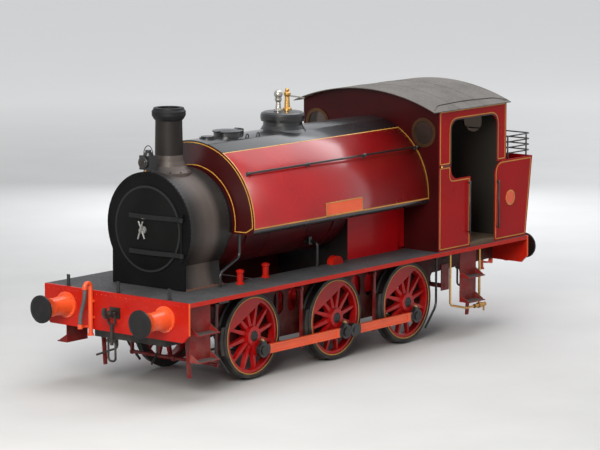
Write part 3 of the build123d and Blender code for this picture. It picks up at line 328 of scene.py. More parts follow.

# %% [markdown]
# The door has a paler ring near its edge, a painted highlight where its rim catches the light, and a
# bright dart in its middle. Fittings that share one imported node are told apart by a plane between
# them: what lies beyond it is one metal, and the rest is another. The floor is one sheet, and folding
# the width there and back gives the gaps between boards.

# %% Colours on the door, the valves and in the cab
door_height, door_glint_from, dart_radius = 2.065, 0.545, 0.150
front_valve, lever_front = 0.150, -0.007
fittings_rear, fittings_low, black_below = -2.125, 2.070, 2.240
plank_half = 0.075


def from_door(tree, where):
    """How far a point lies from the middle of the smokebox door."""
    return radius_from(tree, where["Y"], where["Z"], (0.0, rail_head + door_height))


# Painted highlight: the paler ring stands for the light caught by the door's rim.
def door_areas(tree, where, facing, paint):
    """Painted highlight: a paler ring round the door's edge, where its rim catches the light."""
    return mix(tree, step(tree, from_door(tree, where), door_glint_from, 0.006), paint, (0.024, 0.024, 0.025))


def dart_areas(tree, where, facing, paint):
    """Bright steel on the dart and its handles, in the middle of the black door."""
    return mix(tree, step(tree, from_door(tree, where), dart_radius, 0.004), (0.24, 0.24, 0.23), paint)


def valve_areas(tree, where, facing, paint):
    """Pale grey on the front valve and on the lever, brass on the rear one."""
    front = step(tree, where["X"], middle_axle.x + front_valve, 0.004)
    lever_end = middle_axle.x + lever_front
    lever = ramp(tree, where["X"], lever_end + 0.003, lever_end - 0.003)
    paint = mix(tree, front, paint, (0.42, 0.40, 0.37))
    return mix(tree, lever, paint, (0.50, 0.47, 0.42))


def control_areas(tree, where, facing, paint):
    """Brass on the fittings of the boiler's back, black on the reversing lever and the brake post."""
    paint = mix(tree, step(tree, where["Z"], rail_head + black_below), (0.018, 0.018, 0.019), paint)
    fittings = step(tree, where["X"], middle_axle.x + fittings_rear)
    high = step(tree, where["Z"], rail_head + fittings_low)
    return mix(tree, multiply(tree, fittings, high), paint, (0.62, 0.37, 0.12))


def plank_areas(tree, where, facing, paint):
    """Dark gaps between the floor boards."""
    fold = calculate(tree, "PINGPONG", where["Y"], plank_half)
    return mix(tree, ramp(tree, fold, 0.004, 0.002), paint, (0.012, 0.009, 0.007))


print("door, valve and cab colours ready")

# %% [markdown]
# Wheel hubs are black in the middle, and the rods are black round each pin, with a small brass oil cup
# over it. The circles stand at other places on every wheel and rod, so these two recipes take the
# places and hand back a function for that wheel or that rod.

# %% Colours on the wheels and rods
hub_face, hub_middle = 0.841, 0.074
boss_radius, cup_radius = 0.142, 0.022
oily_black = (0.016, 0.016, 0.017)


def hub_areas(axle_x):
    """Black in the middle of the hub of the wheels on one axle, and on the crank pins."""
    def areas(tree, where, facing, paint):
        reach = radius_from(tree, where["X"], where["Z"], (axle_x, middle_axle.z))
        paint = mix(tree, step(tree, reach, hub_middle), (0.012, 0.012, 0.013), paint)
        pin = step(tree, absolute(tree, where["Y"]), hub_face + 0.008)
        return mix(tree, pin, paint, oily_black)
    return areas


def rod_areas(pins):
    """Black round each pin of a coupling rod, and brass on the oil cup above it."""
    def areas(tree, where, facing, paint):
        for pin_x, pin_z in pins:
            reach = radius_from(tree, where["X"], where["Z"], (pin_x, pin_z))
            paint = mix(tree, step(tree, reach, boss_radius), oily_black, paint)
            cup = radius_from(tree, where["X"], where["Z"], (pin_x, pin_z + boss_radius))
            paint = mix(tree, step(tree, cup, cup_radius, 0.001), (0.50, 0.30, 0.09), paint)
        return paint
    return areas


print("wheel and rod colours ready")

# %% [markdown]
# Each finish is one tin of paint or one bare metal from the works. The reds come first: deep gloss red
# on the tank, the cab and the bunker, scarlet and vermilion at the ends, and a maroon so dark that it
# is nearly brown on the sheets across the engine. The tank has by far the thickest coat, because it is
# the one large curve that mirrors what is round it.

# %% Mix the reds
panel_red = (0.37, 0.001, 0.002)
panel_cloud = (0.32, 0.001, 0.002)
deep_maroon = (0.026, 0.002, 0.0025)
finishes = {
    "tank": finish("tank_paint", (0.34, 0.0015, 0.003), (0.29, 0.0012, 0.0025), 0.30, coat=0.8, grime=0.0,
                   grain=1.2, bump=0.0, areas=tank_areas, shine=0.3, coat_rough=0.22),
    "red": finish("gloss_red", panel_red, panel_cloud, 0.34, coat=0.06, grime=0.1, grain=9.0, bump=0.0004,
                  shine=0.12),
    "cab_red": finish("cab_red", panel_red, panel_cloud, 0.32, coat=0.06, grime=0.05, grain=9.0, bump=0.0004,
                      areas=cab_inside, shine=0.12),
    # Painted light: the firebox is a paler red than the panels, for the sunlight on its side, and its front
    # face is near black, painted shade under the barrel.
    "firebox_sunlit_red": finish("firebox_sunlit_red", (0.50, 0.002, 0.006), (0.43, 0.002, 0.005), 0.36, coat=0.1,
                          grime=0.1, areas=on_faces("X", 0.75, 0.85, (0.016, 0.012, 0.012)), shine=0.2),
    "scarlet": finish("beam_scarlet", scarlet, (0.40, 0.008, 0.004), 0.36, coat=0.1, grime=0.1,
                      areas=beam_highlight_edges, shine=0.15),
    "vermilion": finish("bright_vermilion", vermilion, (0.66, 0.060, 0.014), 0.36, coat=0.3, grime=0.1),
    # Painted shade in part: the steps and guard irons are a darker, duller red than the panels, for the shade
    # under the footplate's edge as well as scuffed paint; their treads are scuffed grey.
    "step_shaded_red": finish("step_shaded_red", (0.25, 0.014, 0.012), (0.15, 0.009, 0.008), 0.50, grime=0.5,
                       areas=on_faces("Z", 0.55, 0.65, (0.085, 0.083, 0.080)), shine=0.3),
    # Painted shade: the frames and their stretchers are a far darker red than the panels, for the shade under
    # the footplate.
    "frame_shaded_red": finish("frame_shaded_red", (0.070, 0.004, 0.003), (0.030, 0.003, 0.003), 0.50, grime=0.3,
                        grain=35.0, shine=0.25),
    "brake_red": finish("brake_red", (0.25, 0.006, 0.006), (0.16, 0.005, 0.005), 0.42, coat=0.2, grime=0.4,
                        shine=0.3),
    "maroon": finish("dark_maroon", maroon, deep_maroon, 0.38, coat=0.12, grime=0.05,
                     areas=on_faces("X", -0.6, -0.9, inside_dark), shine=0.12),
    "rear_maroon": finish("rear_maroon", maroon, deep_maroon, 0.38, coat=0.12, grime=0.05,
                          areas=on_faces("X", 0.75, 0.85, inside_dark), shine=0.12),
    # Painted shade: the front ring of the barrel, seen in the gap between the tank's front plate and the
    # smokebox, is dark teal for the shade in that gap.
    "boiler_red": finish("boiler_red", (0.10, 0.005, 0.007), (0.055, 0.004, 0.006), 0.40, coat=0.2, grime=0.2,
                         areas=beyond("X", middle_axle.x + barrel_shade_from, (0.010, 0.014, 0.016)), shine=0.3),
}
print("reds", len(finishes))

# %% [markdown]
# Black is never the same twice on an engine. It is gloss on the dome, flat on the hot smokebox door,
# and brown with baked oil on the wrapper and the chimney. The grain of those two is stretched round
# and up them, as the heat and the brush left it. Walkways and the roof are worn to grey.

# %% Mix the blacks and greys
finishes.update({
    "black": finish("gloss_black", soft_black, (0.010, 0.010, 0.011), 0.34, coat=0.3, grime=0.08, shine=0.4),
    "door_black": finish("door_black", (0.006, 0.006, 0.006), (0.004, 0.004, 0.004), 0.55, grime=0.02,
                         grain=120.0, areas=door_areas, shine=0.08),
    "plate_black": finish("plate_black", (0.006, 0.006, 0.007), (0.004, 0.004, 0.004), 0.55, grime=0.05,
                          grain=120.0, shine=0.08),
    "strap_black": finish("strap_black", (0.010, 0.010, 0.010), (0.007, 0.007, 0.007), 0.42, metal=0.2,
                          grime=0.0, areas=dart_areas, shine=0.3),
    "smokebox": finish("smokebox_worn", (0.100, 0.078, 0.068), (0.066, 0.052, 0.046), 0.46, metal=0.2,
                       grime=0.05, grain=90.0, stretch=(1.0, 0.6, 0.35), areas=wrapper_areas, shine=0.35),
    "chimney": finish("chimney_worn", (0.018, 0.015, 0.013), (0.009, 0.008, 0.008), 0.50, metal=0.1,
                      grime=0.0, grain=90.0, stretch=(1.0, 1.0, 0.3), shine=0.2,
                      areas=beyond("Z", rail_head + cap_bottom, (0.010, 0.010, 0.011))),
    "deck": finish("deck_grey", (0.052, 0.052, 0.055), (0.034, 0.034, 0.036), 0.62, grime=0.4, grain=45.0,
                   bump=0.0012, areas=deck_areas, shine=0.3),
    "roof": finish("roof_grey", (0.150, 0.137, 0.126), (0.110, 0.100, 0.092), 0.72, grime=0.1, grain=30.0,
                   areas=on_faces("Z", -0.4, -0.7, (0.16, 0.135, 0.10)), shine=0.3),
})
print("finishes", len(finishes))

# %% [markdown]
# Bare metal has no coat of gloss. Its shine comes from metal itself, and oil and brake dust take that
# shine away again. Brass is polished on the gauges and the plates' edges, and nearly brown on the
# window rims. Wood, rubber, gold paint and the enamel of the dials close the list.

# %% Mix the metals, wood and rubber
bright_brass, brass_cloud = (0.72, 0.43, 0.13), (0.50, 0.27, 0.08)
finishes.update({
    "tyre": finish("tyre_steel", (0.024, 0.023, 0.022), (0.015, 0.014, 0.014), 0.42, metal=0.4, grime=0.3,
                   grain=150.0),
    "controls": finish("cab_fittings", (0.52, 0.51, 0.49), (0.36, 0.34, 0.32), 0.32, metal=0.8, grime=0.1,
                       grain=150.0, areas=control_areas),
    "iron": finish("oily_iron", (0.014, 0.013, 0.013), (0.030, 0.025, 0.021), 0.42, metal=0.3, grime=0.4),
    "ram": finish("buffer_iron", (0.010, 0.010, 0.011), (0.018, 0.017, 0.017), 0.42, metal=0.3, grime=0.1,
                  areas=ram_areas, shine=0.3),
    "rust": finish("rusty_angle", (0.15, 0.062, 0.038), (0.09, 0.045, 0.032), 0.75, grime=0.2, grain=80.0,
                   bump=0.0012),
    "brass": finish("brass", bright_brass, brass_cloud, 0.24, metal=1.0, grime=0.05, grain=110.0),
    "dull_brass": finish("dull_brass", (0.12, 0.062, 0.030), (0.08, 0.044, 0.024), 0.46, metal=0.9, grime=0.1,
                         grain=110.0),
    "valves": finish("valve_brass", bright_brass, brass_cloud, 0.28, metal=0.8, grime=0.0, grain=110.0,
                     areas=valve_areas),
    "wood": finish("floor_boards", (0.16, 0.105, 0.06), (0.085, 0.055, 0.033), 0.72, grime=0.4, grain=26.0,
                   stretch=(0.25, 3.0, 1.0), areas=plank_areas),
    "rubber": finish("hose_rubber", (0.060, 0.060, 0.063), (0.11, 0.11, 0.115), 0.55, grime=0.3),
    "gold": finish("gold_line", (0.58, 0.30, 0.055), (0.48, 0.23, 0.04), 0.42, coat=0.1, grime=0.0,
                   shine=0.3),
    "dial": finish("dial_enamel", (0.72, 0.71, 0.66), (0.66, 0.64, 0.58), 0.25, coat=0.4, grime=0.0),
})
print("finishes", len(finishes))

# %% [markdown]
# The cab windows and the lamp have old glass, smoked to a brown tint. Glass needs no clouds, only a
# faint smear in its shine, so it has its own short recipe.

# %% Glass for the cab windows and the lamp
def glass(name, tint, see_through):
    """Tinted glass with a faint smear."""
    material, tree, shader = new_material(name)
    coords = add_node(tree, "ShaderNodeTexCoord").outputs["Object"]
    wire(tree, shader, {
        "Base Color": (*tint, 1.0), "Transmission Weight": see_through, "IOR": 1.45,
        "Specular IOR Level": 0.2,
        "Roughness": ramp(tree, noise(tree, coords, 9.0, 5.0), 0.3, 0.8, 0.02, 0.12),
    })
    return material


finishes["glass"] = glass("window_glass_finish", (0.11, 0.085, 0.07), 0.8)
print("glass ready")

# %% [markdown]
# The hubs' black middles stand at each axle, and the rods' black bosses at each crank pin. The pins'
# places follow from the throw and from how far each side's crank has turned at rest. One more pin, the
# knuckle's, is a little behind the middle one, so that the two halves of a rod can give.

# %% Finishes for each axle and each rod
pin_turns = {"left": 243.0, "right": 333.0}
crank_throw, knuckle_back = 0.222, 0.190
axle_places = {"front": axle_front, "middle": 0.0, "rear": axle_rear}
for wheel_name, axle_x in axle_places.items():
    finishes[f"wheel_{wheel_name}"] = finish(
        f"wheel_red_{wheel_name}", (0.50, 0.004, 0.005), (0.38, 0.003, 0.004), 0.34, coat=0.15, grime=0.15,
        areas=hub_areas(middle_axle.x + axle_x), shine=0.3)
for side_name, turn in pin_turns.items():
    pin_x = middle_axle.x + crank_throw * cos(radians(turn))
    pin_z = middle_axle.z + crank_throw * sin(radians(turn))
    pins = [(pin_x + offset, pin_z) for offset in (*axle_places.values(), -knuckle_back)]
    finishes[f"rod_{side_name}"] = finish(
        f"rod_vermilion_{side_name}", (0.95, 0.12, 0.022), (0.82, 0.09, 0.018), 0.34, coat=0.2, grime=0.04,
        areas=rod_areas(pins))
print("finishes", len(finishes))

# %% [markdown]
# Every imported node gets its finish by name. The shapes are right already, so nothing is rebuilt here.

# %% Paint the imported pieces
painted = {
    "tank": "saddle_tank",
    "red": "bunker",
    "firebox_sunlit_red": "firebox",
    "scarlet": "buffer_beams deck_fittings",
    "vermilion": "buffer_stocks brake_pipes blank_plates",
    "cab_red": "cab_upper_sides cab_lower_sides",
    "step_shaded_red": "steps guard_irons",
    "brake_red": "brake_hangers brake_rigging",
    "frame_shaded_red": "frame_plates frame_stretchers",
    "wheel_front": "wheels_front",
    "wheel_middle": "wheels_middle",
    "wheel_rear": "wheels_rear",
    "rod_left": "coupling_rod_left",
    "rod_right": "coupling_rod_right",
    "maroon": "cab_front",
    "rear_maroon": "cab_rear",
    "boiler_red": "boiler_barrel",
    "black": "dome_cover headlamp filler_lid tank_hatch lamp_irons handrails sand_gear feed_pipes",
    "door_black": "smokebox_door",
    "plate_black": "smokebox_front",
    "strap_black": "door_fittings",
    "smokebox": "smokebox_wrapper chimney_base",
    "chimney": "chimney",
    "deck": "footplate",
    "roof": "cab_roof",
    "tyre": "tyres_front tyres_middle tyres_rear",
    "controls": "cab_controls",
    "iron": "drawhooks screw_couplings cylinder_block axleboxes ashpan blast_pipe brake_blocks fire_door"
            " fire_hole_ring",
    "ram": "buffer_heads",
    "valves": "safety_valves",
    "dull_brass": "window_rims",
    "brass": "injectors",
    "wood": "cab_floor",
    "rubber": "brake_hoses",
    "glass": "window_glass",
}
for finish_name, node_names in painted.items():
    for node_name in node_names.split():
        mesh = frame["nodes"][node_name].data
        mesh.materials.clear()
        mesh.materials.append(finishes[finish_name])
left_bare = sorted(set(frame["nodes"]) - set(" ".join(painted.values()).split()))
print("nodes without a finish:", left_bare)

# %% [markdown]
# The small trim is made here and not in the imported model. Each new piece is drawn as loops of corners
# with faces between them, at its true place on the engine. Then it is told which body it rides on, so
# that it moves along, and which finish it wears.

# %% A helper for new pieces
def skin(mesh, loops, closed=False):
    """Joins each loop of corners to the next, and closes the run or else both its ends."""
    for here, there in zip(loops, loops[1:] + loops[:1] if closed else loops[1:]):
        for corner in range(len(here)):
            after = (corner + 1) % len(here)
            mesh.faces.new((here[corner], here[after], there[after], there[corner]))
    if not closed:
        mesh.faces.new(loops[0][::-1])
        mesh.faces.new(loops[-1])


def piece(name, mesh, material, body="root", smooth=False):
    """Turns a finished bmesh into an object that rides on a body of the locomotive."""
    bmesh.ops.recalc_face_normals(mesh, faces=mesh.faces)
    data = bpy.data.meshes.new(name)
    mesh.to_mesh(data)
    mesh.free()
    data.materials.append(finishes[material])
    if smooth:
        data.polygons.foreach_set("use_smooth", [True] * len(data.polygons))
    thing = bpy.data.objects.new(name, data)
    scene.collection.objects.link(thing)
    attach(thing, body)
    return thing


# %% [markdown]
# Lining is a thin gold line of paint. Here it is a real strip, a millimetre and a half proud, laid
# on a surface that is described by two numbers: how far along, and how far up or round. The strip
# is drawn flat in those two numbers and then mapped onto the flat sheet or the curved tank.

# %% A strip that follows a surface
line_width, line_proud, line_sink = 0.016, 0.0015, 0.001
corner_steps = 5


def rounded(points, radius, closed=True):
    """A flat run of points with an arc at each corner, of its own radius where it has a third number."""
    count = len(points)
    result = []
    for index, point in enumerate(points):
        here = Vector(point[:2])
        if not closed and index in (0, count - 1):
            result.append(here)
            continue
        before = Vector(points[index - 1][:2]) - here
        after = Vector(points[(index + 1) % count][:2]) - here
        reach = min(point[2] if len(point) > 2 else radius, before.length * 0.45, after.length * 0.45)
        start, end = here + before.normalized() * reach, here + after.normalized() * reach
        for number in range(corner_steps + 1):
            share = number / corner_steps
            result.append(start.lerp(here, share).lerp(here.lerp(end, share), share))
    return result


def edge_offsets(points, closed):
    """The sideways direction at each point of a flat run, longer where it turns."""
    count = len(points)
    sides = []
    for index in range(count):
        before = points[index] - points[index - 1] if closed or index else None
        after = points[(index + 1) % count] - points[index] if closed or index < count - 1 else None
        ways = [way.normalized() for way in (before, after) if way is not None and way.length > 1e-9]
        ahead = sum(ways, Vector((0, 0))).normalized()
        side = Vector((-ahead.y, ahead.x))
        square = Vector((-ways[0].y, ways[0].x))
        sides.append(side / max(0.5, side.dot(square)))
    return sides


def strip(name, points, surface, material, width=line_width, proud=line_proud, closed=True, body="root"):
    """A thin raised strip along a flat run of points, laid on a surface."""
    mesh = bmesh.new()
    loops = []
    for point, side in zip(points, edge_offsets(points, closed)):
        loop = []
        for across, lift in ((-0.5, -line_sink), (-0.5, proud), (0.5, proud), (0.5, -line_sink)):
            flat = point + side * width * across
            place, normal = surface(flat.x, flat.y)
            loop.append(mesh.verts.new(place + normal * lift))
        loops.append(loop)
    skin(mesh, loops, closed)
    return piece(name, mesh, material, body)


print("gold line width in mm", line_width * 1000)

# %% [markdown]
# A saddle tank is rolled round the boiler's own axis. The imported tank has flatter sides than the
# photograph shows, so a rolled sheet is laid over each side, from the crown down to the lower edge,
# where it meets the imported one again. Walking round from the crown, the distance divided by the
# radius is the angle, so one function gives the point and the outward direction.

# %% The tank's rolled sides
boiler_height = 2.090
tank_radius, tank_inside = 1.060, 0.940
tank_front, tank_rear = 2.011, -1.791
tank_start, tank_stop, tank_steps = radians(14.0), radians(92.6), 56
both_sides = ((1, "left"), (-1, "right"))


def tank_skin(side):
    """The surface of one side of the tank, by length and distance round from the crown."""
    def surface(length, around):
        outward = Vector((0, side * sin(around / tank_radius), cos(around / tank_radius)))
        return at(length, 0, boiler_height) + outward * tank_radius, outward
    return surface


def tank_sheet(name, side):
    """A rolled sheet over one side of the tank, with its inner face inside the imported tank."""
    mesh = bmesh.new()
    turns = [tank_start + (tank_stop - tank_start) * number / tank_steps for number in range(tank_steps + 1)]
    ring = [(tank_radius, turn) for turn in turns] + [(tank_inside, turn) for turn in reversed(turns)]
    loops = []
    for length in (tank_rear, tank_front):
        loops.append([mesh.verts.new(at(length, side * reach * sin(turn), boiler_height + reach * cos(turn)))
                      for reach, turn in ring])
    skin(mesh, loops)
    thing = piece(name, mesh, "tank")
    for face in thing.data.polygons:
        face.use_smooth = face.index < tank_steps
    return thing


for side, side_name in both_sides:
    tank_sheet(f"tank_sheet_{side_name}", side)

top_line = tank_radius * asin(tank_top_half / tank_radius)
low_line = tank_radius * tank_stop - 0.010
line_rear, line_front = tank_rear + 0.020, tank_front - 0.012
panel = [Vector(corner) for corner in ((line_rear, low_line), (line_rear, top_line), (line_front, top_line),
                                       (line_front, low_line))]
panel_run = [first.lerp(second, number / 12) for first, second in zip(panel, panel[1:] + panel[:1])
             for number in range(12)]
for side, side_name in both_sides:
    strip(f"tank_line_{side_name}", panel_run, tank_skin(side), "gold")
print("tank lines from", round(top_line, 3), "to", round(low_line, 3), "round from the crown")

# %% [markdown]
# The tank's front plate has its own line: round under the rim, in along the lower edges and back
# round the barrel. A line on a flat sheet only needs a flat surface, so two small functions make one
# facing sideways and one facing along the engine.

# %% Flat surfaces and the line on the tank's front plate
def side_face(side, out):
    """A flat surface that looks sideways, by length and height."""
    return lambda length, height: (at(length, side * out, height), sideways * side)


def end_face(length, way):
    """A flat surface that looks along the engine, by side and height."""
    return lambda across, height: (at(length, across, height), forward * way)


def arc(radius, centre, start, stop, count):
    """Points of an arc in the side and height of an end view, in degrees from the crown."""
    turns = [radians(start + (stop - start) * number / count) for number in range(count + 1)]
    return [Vector((centre[0] + radius * sin(turn), centre[1] + radius * cos(turn))) for turn in turns]


line_inset, mouth_radius = 0.028, 0.735
lip_side, lip_height, rim_turn, mouth_turn = 0.920, 1.998, 91.5, 97.5
outer = arc(tank_radius - line_inset, (0, boiler_height), -rim_turn, rim_turn, 48)
inner = arc(mouth_radius, (0, boiler_height), mouth_turn, -mouth_turn, 48)
plate_run = outer + [Vector((lip_side, lip_height))] + inner + [Vector((-lip_side, lip_height))]
strip("tank_front_line", plate_run, end_face(tank_front, 1), "gold", width=0.013)
print("front plate line", len(plate_run), "points")

# %% [markdown]
# The cab and bunker panels are lined 30 mm in from their edges, round the window opening too. The
# opening itself has a dark half-round bead, and a black joint strip covers the waist seam.

# %% Lining and beading on the cab and bunker
cab_half, sheet_inset, panel_width = 1.220, 0.030, 0.014
cab_front, cab_rear, cab_top, waist, sill = -1.800, -3.400, 3.292, 2.500, 2.300
door_front, door_rear, deck_top = -2.545, -3.130, 1.295
opening_front, opening_rear, opening_top = -2.080, -3.170, 3.130
bunker_top, bunker_lean = 2.450, -4.050
tight, wide, bead_gap = 0.02, 0.18, 0.008


def inset(corners, gap):
    """An outline moved inwards by a gap. Its corners run round with the sheet on their left."""
    places = [Vector(corner[:2]) for corner in corners]
    return [(*(place + side * gap), corner[2])
            for corner, place, side in zip(corners, places, edge_offsets(places, True))]


upper_panel = inset([(cab_front, waist, tight), (cab_front, cab_top, tight), (cab_rear, cab_top, tight),
                     (cab_rear, bunker_top, tight), (opening_rear, bunker_top, tight),
                     (opening_rear, opening_top, wide), (opening_front, opening_top, wide),
                     (opening_front, waist, tight)], sheet_inset)
lower_panel = inset([(cab_front, waist, tight), (opening_front, waist, tight), (opening_front, sill, wide),
                     (door_front, sill, tight), (door_front, deck_top, tight), (cab_front, deck_top, tight)],
                    sheet_inset)
bunker_panel = [(door_rear - sheet_inset, deck_top + sheet_inset, tight),
                (door_rear - sheet_inset, bunker_top - sheet_inset, 0.16),
                (bunker_lean + 0.034, bunker_top - sheet_inset, tight),
                (rear_end + 0.026, deck_top + sheet_inset, tight)]
opening_edge = [(opening_rear - bead_gap, bunker_top + bead_gap, 0.0),
                (opening_rear - bead_gap, opening_top + bead_gap, 0.15),
                (opening_front + bead_gap, opening_top + bead_gap, 0.15),
                (opening_front + bead_gap, waist, 0.0)]
panels = {"cab_upper": upper_panel, "cab_lower": lower_panel, "bunker": bunker_panel}
waist_seam = [Vector((cab_front - 0.002, waist)), Vector((opening_front + 0.002, waist))]
for side, side_name in both_sides:
    sheet = side_face(side, cab_half)
    for panel_name, corners in panels.items():
        strip(f"{panel_name}_line_{side_name}", rounded(corners, tight), sheet, "gold", width=panel_width)
    strip(f"opening_bead_{side_name}", rounded(opening_edge, wide, closed=False), sheet, "black",
          width=0.012, proud=0.007, closed=False)
    strip(f"waist_joint_{side_name}", waist_seam, sheet, "black", width=0.020, proud=0.004, closed=False)
print("panels lined on both sides")

# %% [markdown]
# The bunker's back leans out as it rises, so its line lies on a sloping surface. The height gives how
# far out the sheet has come, and the outward direction tips down by the same slope.

# %% Lining on the bunker's back
back_inset, back_corner = 0.035, 0.03
lean = (bunker_lean - rear_end) / (bunker_top - deck_top)
slope = sqrt(1.0 + lean * lean)


def bunker_back(across, height):
    """The leaning outer face of the bunker's back, by side and height."""
    place = at(rear_end + lean * (height - deck_top), across, height)
    return place, Vector((-1.0, 0.0, lean)) / slope


back_panel = inset([(-cab_half, deck_top, back_corner), (cab_half, deck_top, back_corner),
                    (cab_half, bunker_top, back_corner), (-cab_half, bunker_top, back_corner)], back_inset)
strip("bunker_back_line", rounded(back_panel, back_corner), bunker_back, "gold", width=panel_width)
print("bunker back lined")

# %% [markdown]
# Each wheel wears a gold ring just inside its tyre. The ring rides on the wheel's own body, so it
# turns with it.

# %% Gold rings on the wheels
tyre_face, ring_radius = 0.813, 0.514


def ring_points(radius, centre, count=72, start=0.0):
    """A closed ring of flat points, from a start in degrees."""
    turns = [radians(start) + 2 * pi * number / count for number in range(count)]
    return [Vector((centre[0] + radius * cos(turn), centre[1] + radius * sin(turn))) for turn in turns]


for wheel_name, axle_x in axle_places.items():
    ring = ring_points(ring_radius, (axle_x, tread_radius))
    for side, side_name in both_sides:
        strip(f"tyre_ring_{wheel_name}_{side_name}", ring, side_face(side, tyre_face), "gold",
              width=0.014, body=f"wheelset_{wheel_name}")
print("rings on", 2 * len(axle_places), "wheels")

# %% [markdown]
# Rivets and bolts are many small heads of one shape. One function places a head at each point, turned
# to the surface there, and keeps them all in one mesh: round and domed for rivets, six-sided for bolts.

# %% A helper for rivets and bolts
rivet_head = ((1.0, -0.1), (1.0, 0.35), (0.72, 0.82), (0.3, 1.0))
bolt_head = ((1.0, -0.1), (1.0, 0.85), (0.86, 1.0))


def spun(mesh, place, outward, profile, sides):
    """Spins pairs of radius and rise about a line, and joins the circles that they draw."""
    turn = outward.to_track_quat("Z", "Y").to_matrix()
    skin(mesh, [[mesh.verts.new(place + turn @ Vector((*corner, rise)))
                 for corner in ring_points(radius, (0, 0), sides)] for radius, rise in profile])


def studs(name, places, radius, height, material, body="root", domed=True):
    """Round rivet heads, or six-sided bolt heads, each at a point with its outward direction."""
    profile = [(radius * share, height * lift) for share, lift in (rivet_head if domed else bolt_head)]
    mesh = bmesh.new()
    for place, outward in places:
        spun(mesh, place, outward, profile, 8 if domed else 6)
    return piece(name, mesh, material, body, smooth=domed)


def laid(surface, points):
    """The places and outward directions of flat points on a surface."""
    return [surface(point.x, point.y) for point in points]


def row(start, stop, pitch):
    """Even steps between two flat points, both ends among them."""
    start, stop = Vector(start), Vector(stop)
    count = max(1, round((stop - start).length / pitch))
    return [start.lerp(stop, number / count) for number in range(count + 1)]


print("stud helper ready")

# %% [markdown]
# The smokebox is riveted all round its front plate, at both edges of the wrapper and along the angle
# that holds its saddle to the footplate. That angle has rusted to a thin brown line.

# %% Rivets on the smokebox
smokebox_radius, plate_length, rivet_circle, rivet_pitch = 0.715, 2.905, 0.690, 0.062
saddle_side, saddle_low, saddle_top = 0.610, 1.330, 1.900
angle_side, angle_proud, bolt_side = 0.606, 0.012, 0.624


def deck_face(length, across):
    """The top of the footplate, by length and side."""
    return at(length, across, deck_top), upright


plate_flat = arc(rivet_circle, (0, boiler_height), -104, 104, 52)
for side in (1, -1):
    plate_flat += row((side * saddle_side, saddle_low), (side * saddle_side, saddle_top), rivet_pitch)[:-1]
plate_flat += row((-0.550, 1.325), (0.550, 1.325), rivet_pitch)
studs("front_plate_rivets", laid(end_face(plate_length, 1), plate_flat), 0.011, 0.007, "plate_black")
wrapper_places = []
for length in (2.125, 2.860):
    for point in arc(1.0, (0, 0), -128, 128, 56):
        outward = Vector((0, *point))
        wrapper_places.append((at(length, 0, boiler_height) + outward * smokebox_radius, outward))
studs("wrapper_rivets", wrapper_places, 0.011, 0.007, "smokebox")
for side, side_name in both_sides:
    angle_run = [Vector((length, angle_side * side)) for length in (2.105, 2.895)]
    strip(f"saddle_angle_{side_name}", angle_run, deck_face, "rust", width=0.070, proud=angle_proud,
          closed=False)
    bolts = [(at(length, side * bolt_side, deck_top + angle_proud), upright)
             for length in (2.16, 2.34, 2.52, 2.70, 2.86)]
    studs(f"saddle_bolts_{side_name}", bolts, 0.014, 0.014, "rust", domed=False)
print("smokebox rivets", len(plate_flat) + len(wrapper_places))

# %% [markdown]
# The beams carry rivets where the frame angles sit behind them and four bolts at each buffer. The
# frame plates show their own rows between the wheels.

# %% Rivets and bolts on the beams, buffers and frames
buffer_side, buffer_height, flange_proud = 0.870, 1.052, 0.026
frame_side = 0.653
beam_places, flange_bolts, frame_places = [], [], []
for length, way, low in ((front_end, 1, 0.830), (rear_end, -1, 0.945)):
    runs = [row((across, low), (across, 1.240), 0.075) for across in (-0.560, -0.700, 0.560, 0.700)]
    for run in runs + [row((-1.190, 1.245), (1.190, 1.245), 0.085)]:
        beam_places += laid(end_face(length, way), run)
    for side in (-1, 1):
        circle = ring_points(0.152, (side * buffer_side, buffer_height), 4, 45)
        flange_bolts += laid(end_face(length + way * flange_proud, way), circle)
for side in (-1, 1):
    for start, stop in ((-1.02, -0.58), (0.66, 1.10), (-2.36, -2.20), (2.42, 3.30)):
        for height in (1.235, 1.120):
            frame_places += laid(side_face(side, frame_side), row((start, height), (stop, height), 0.090))
studs("beam_rivets", beam_places, 0.012, 0.007, "scarlet")
studs("buffer_bolts", flange_bolts, 0.015, 0.016, "vermilion", domed=False)
studs("frame_rivets", frame_places, 0.012, 0.008, "frame_shaded_red")
print("beam and frame rivets", len(beam_places) + len(frame_places))

# %% [markdown]
# Turned parts come from the same spinning: a profile goes round a line. It gives the lamp its rim and
# lens, the gauges their bezels and dials, and the waist its small brass knob.

# %% A helper for turned parts
def turned(name, place, outward, profile, material, sides=32):
    """A turned piece from pairs of radius and distance along its axis."""
    mesh = bmesh.new()
    spun(mesh, place, outward, profile, sides)
    thing = piece(name, mesh, material)
    for face in thing.data.polygons:
        face.use_smooth = len(face.vertices) == 4
    return thing


lamp_length, lamp_height = 2.993, 2.949
knob_profile = ((0.012, -0.002), (0.009, 0.014), (0.016, 0.020), (0.018, 0.030), (0.011, 0.039))
turned("lamp_rim", at(lamp_length, 0, lamp_height), forward,
       ((0.074, 0.0), (0.078, 0.004), (0.078, 0.016), (0.060, 0.020)), "black")
turned("lamp_lens", at(lamp_length + 0.008, 0, lamp_height), forward,
       ((0.058, 0.0), (0.058, 0.010), (0.042, 0.018), (0.018, 0.022)), "glass")
for side, side_name in both_sides:
    turned(f"waist_knob_{side_name}", at(cab_front - 0.030, side * cab_half, waist), sideways * side,
           knob_profile, "brass", sides=20)
print("lamp and knobs turned")

# %% [markdown]
# Bolts sit in circles: round the chimney's foot, where its skirt meets the smokebox, round the brass
# rims of the four cab windows, and round each hub with one more in its middle.

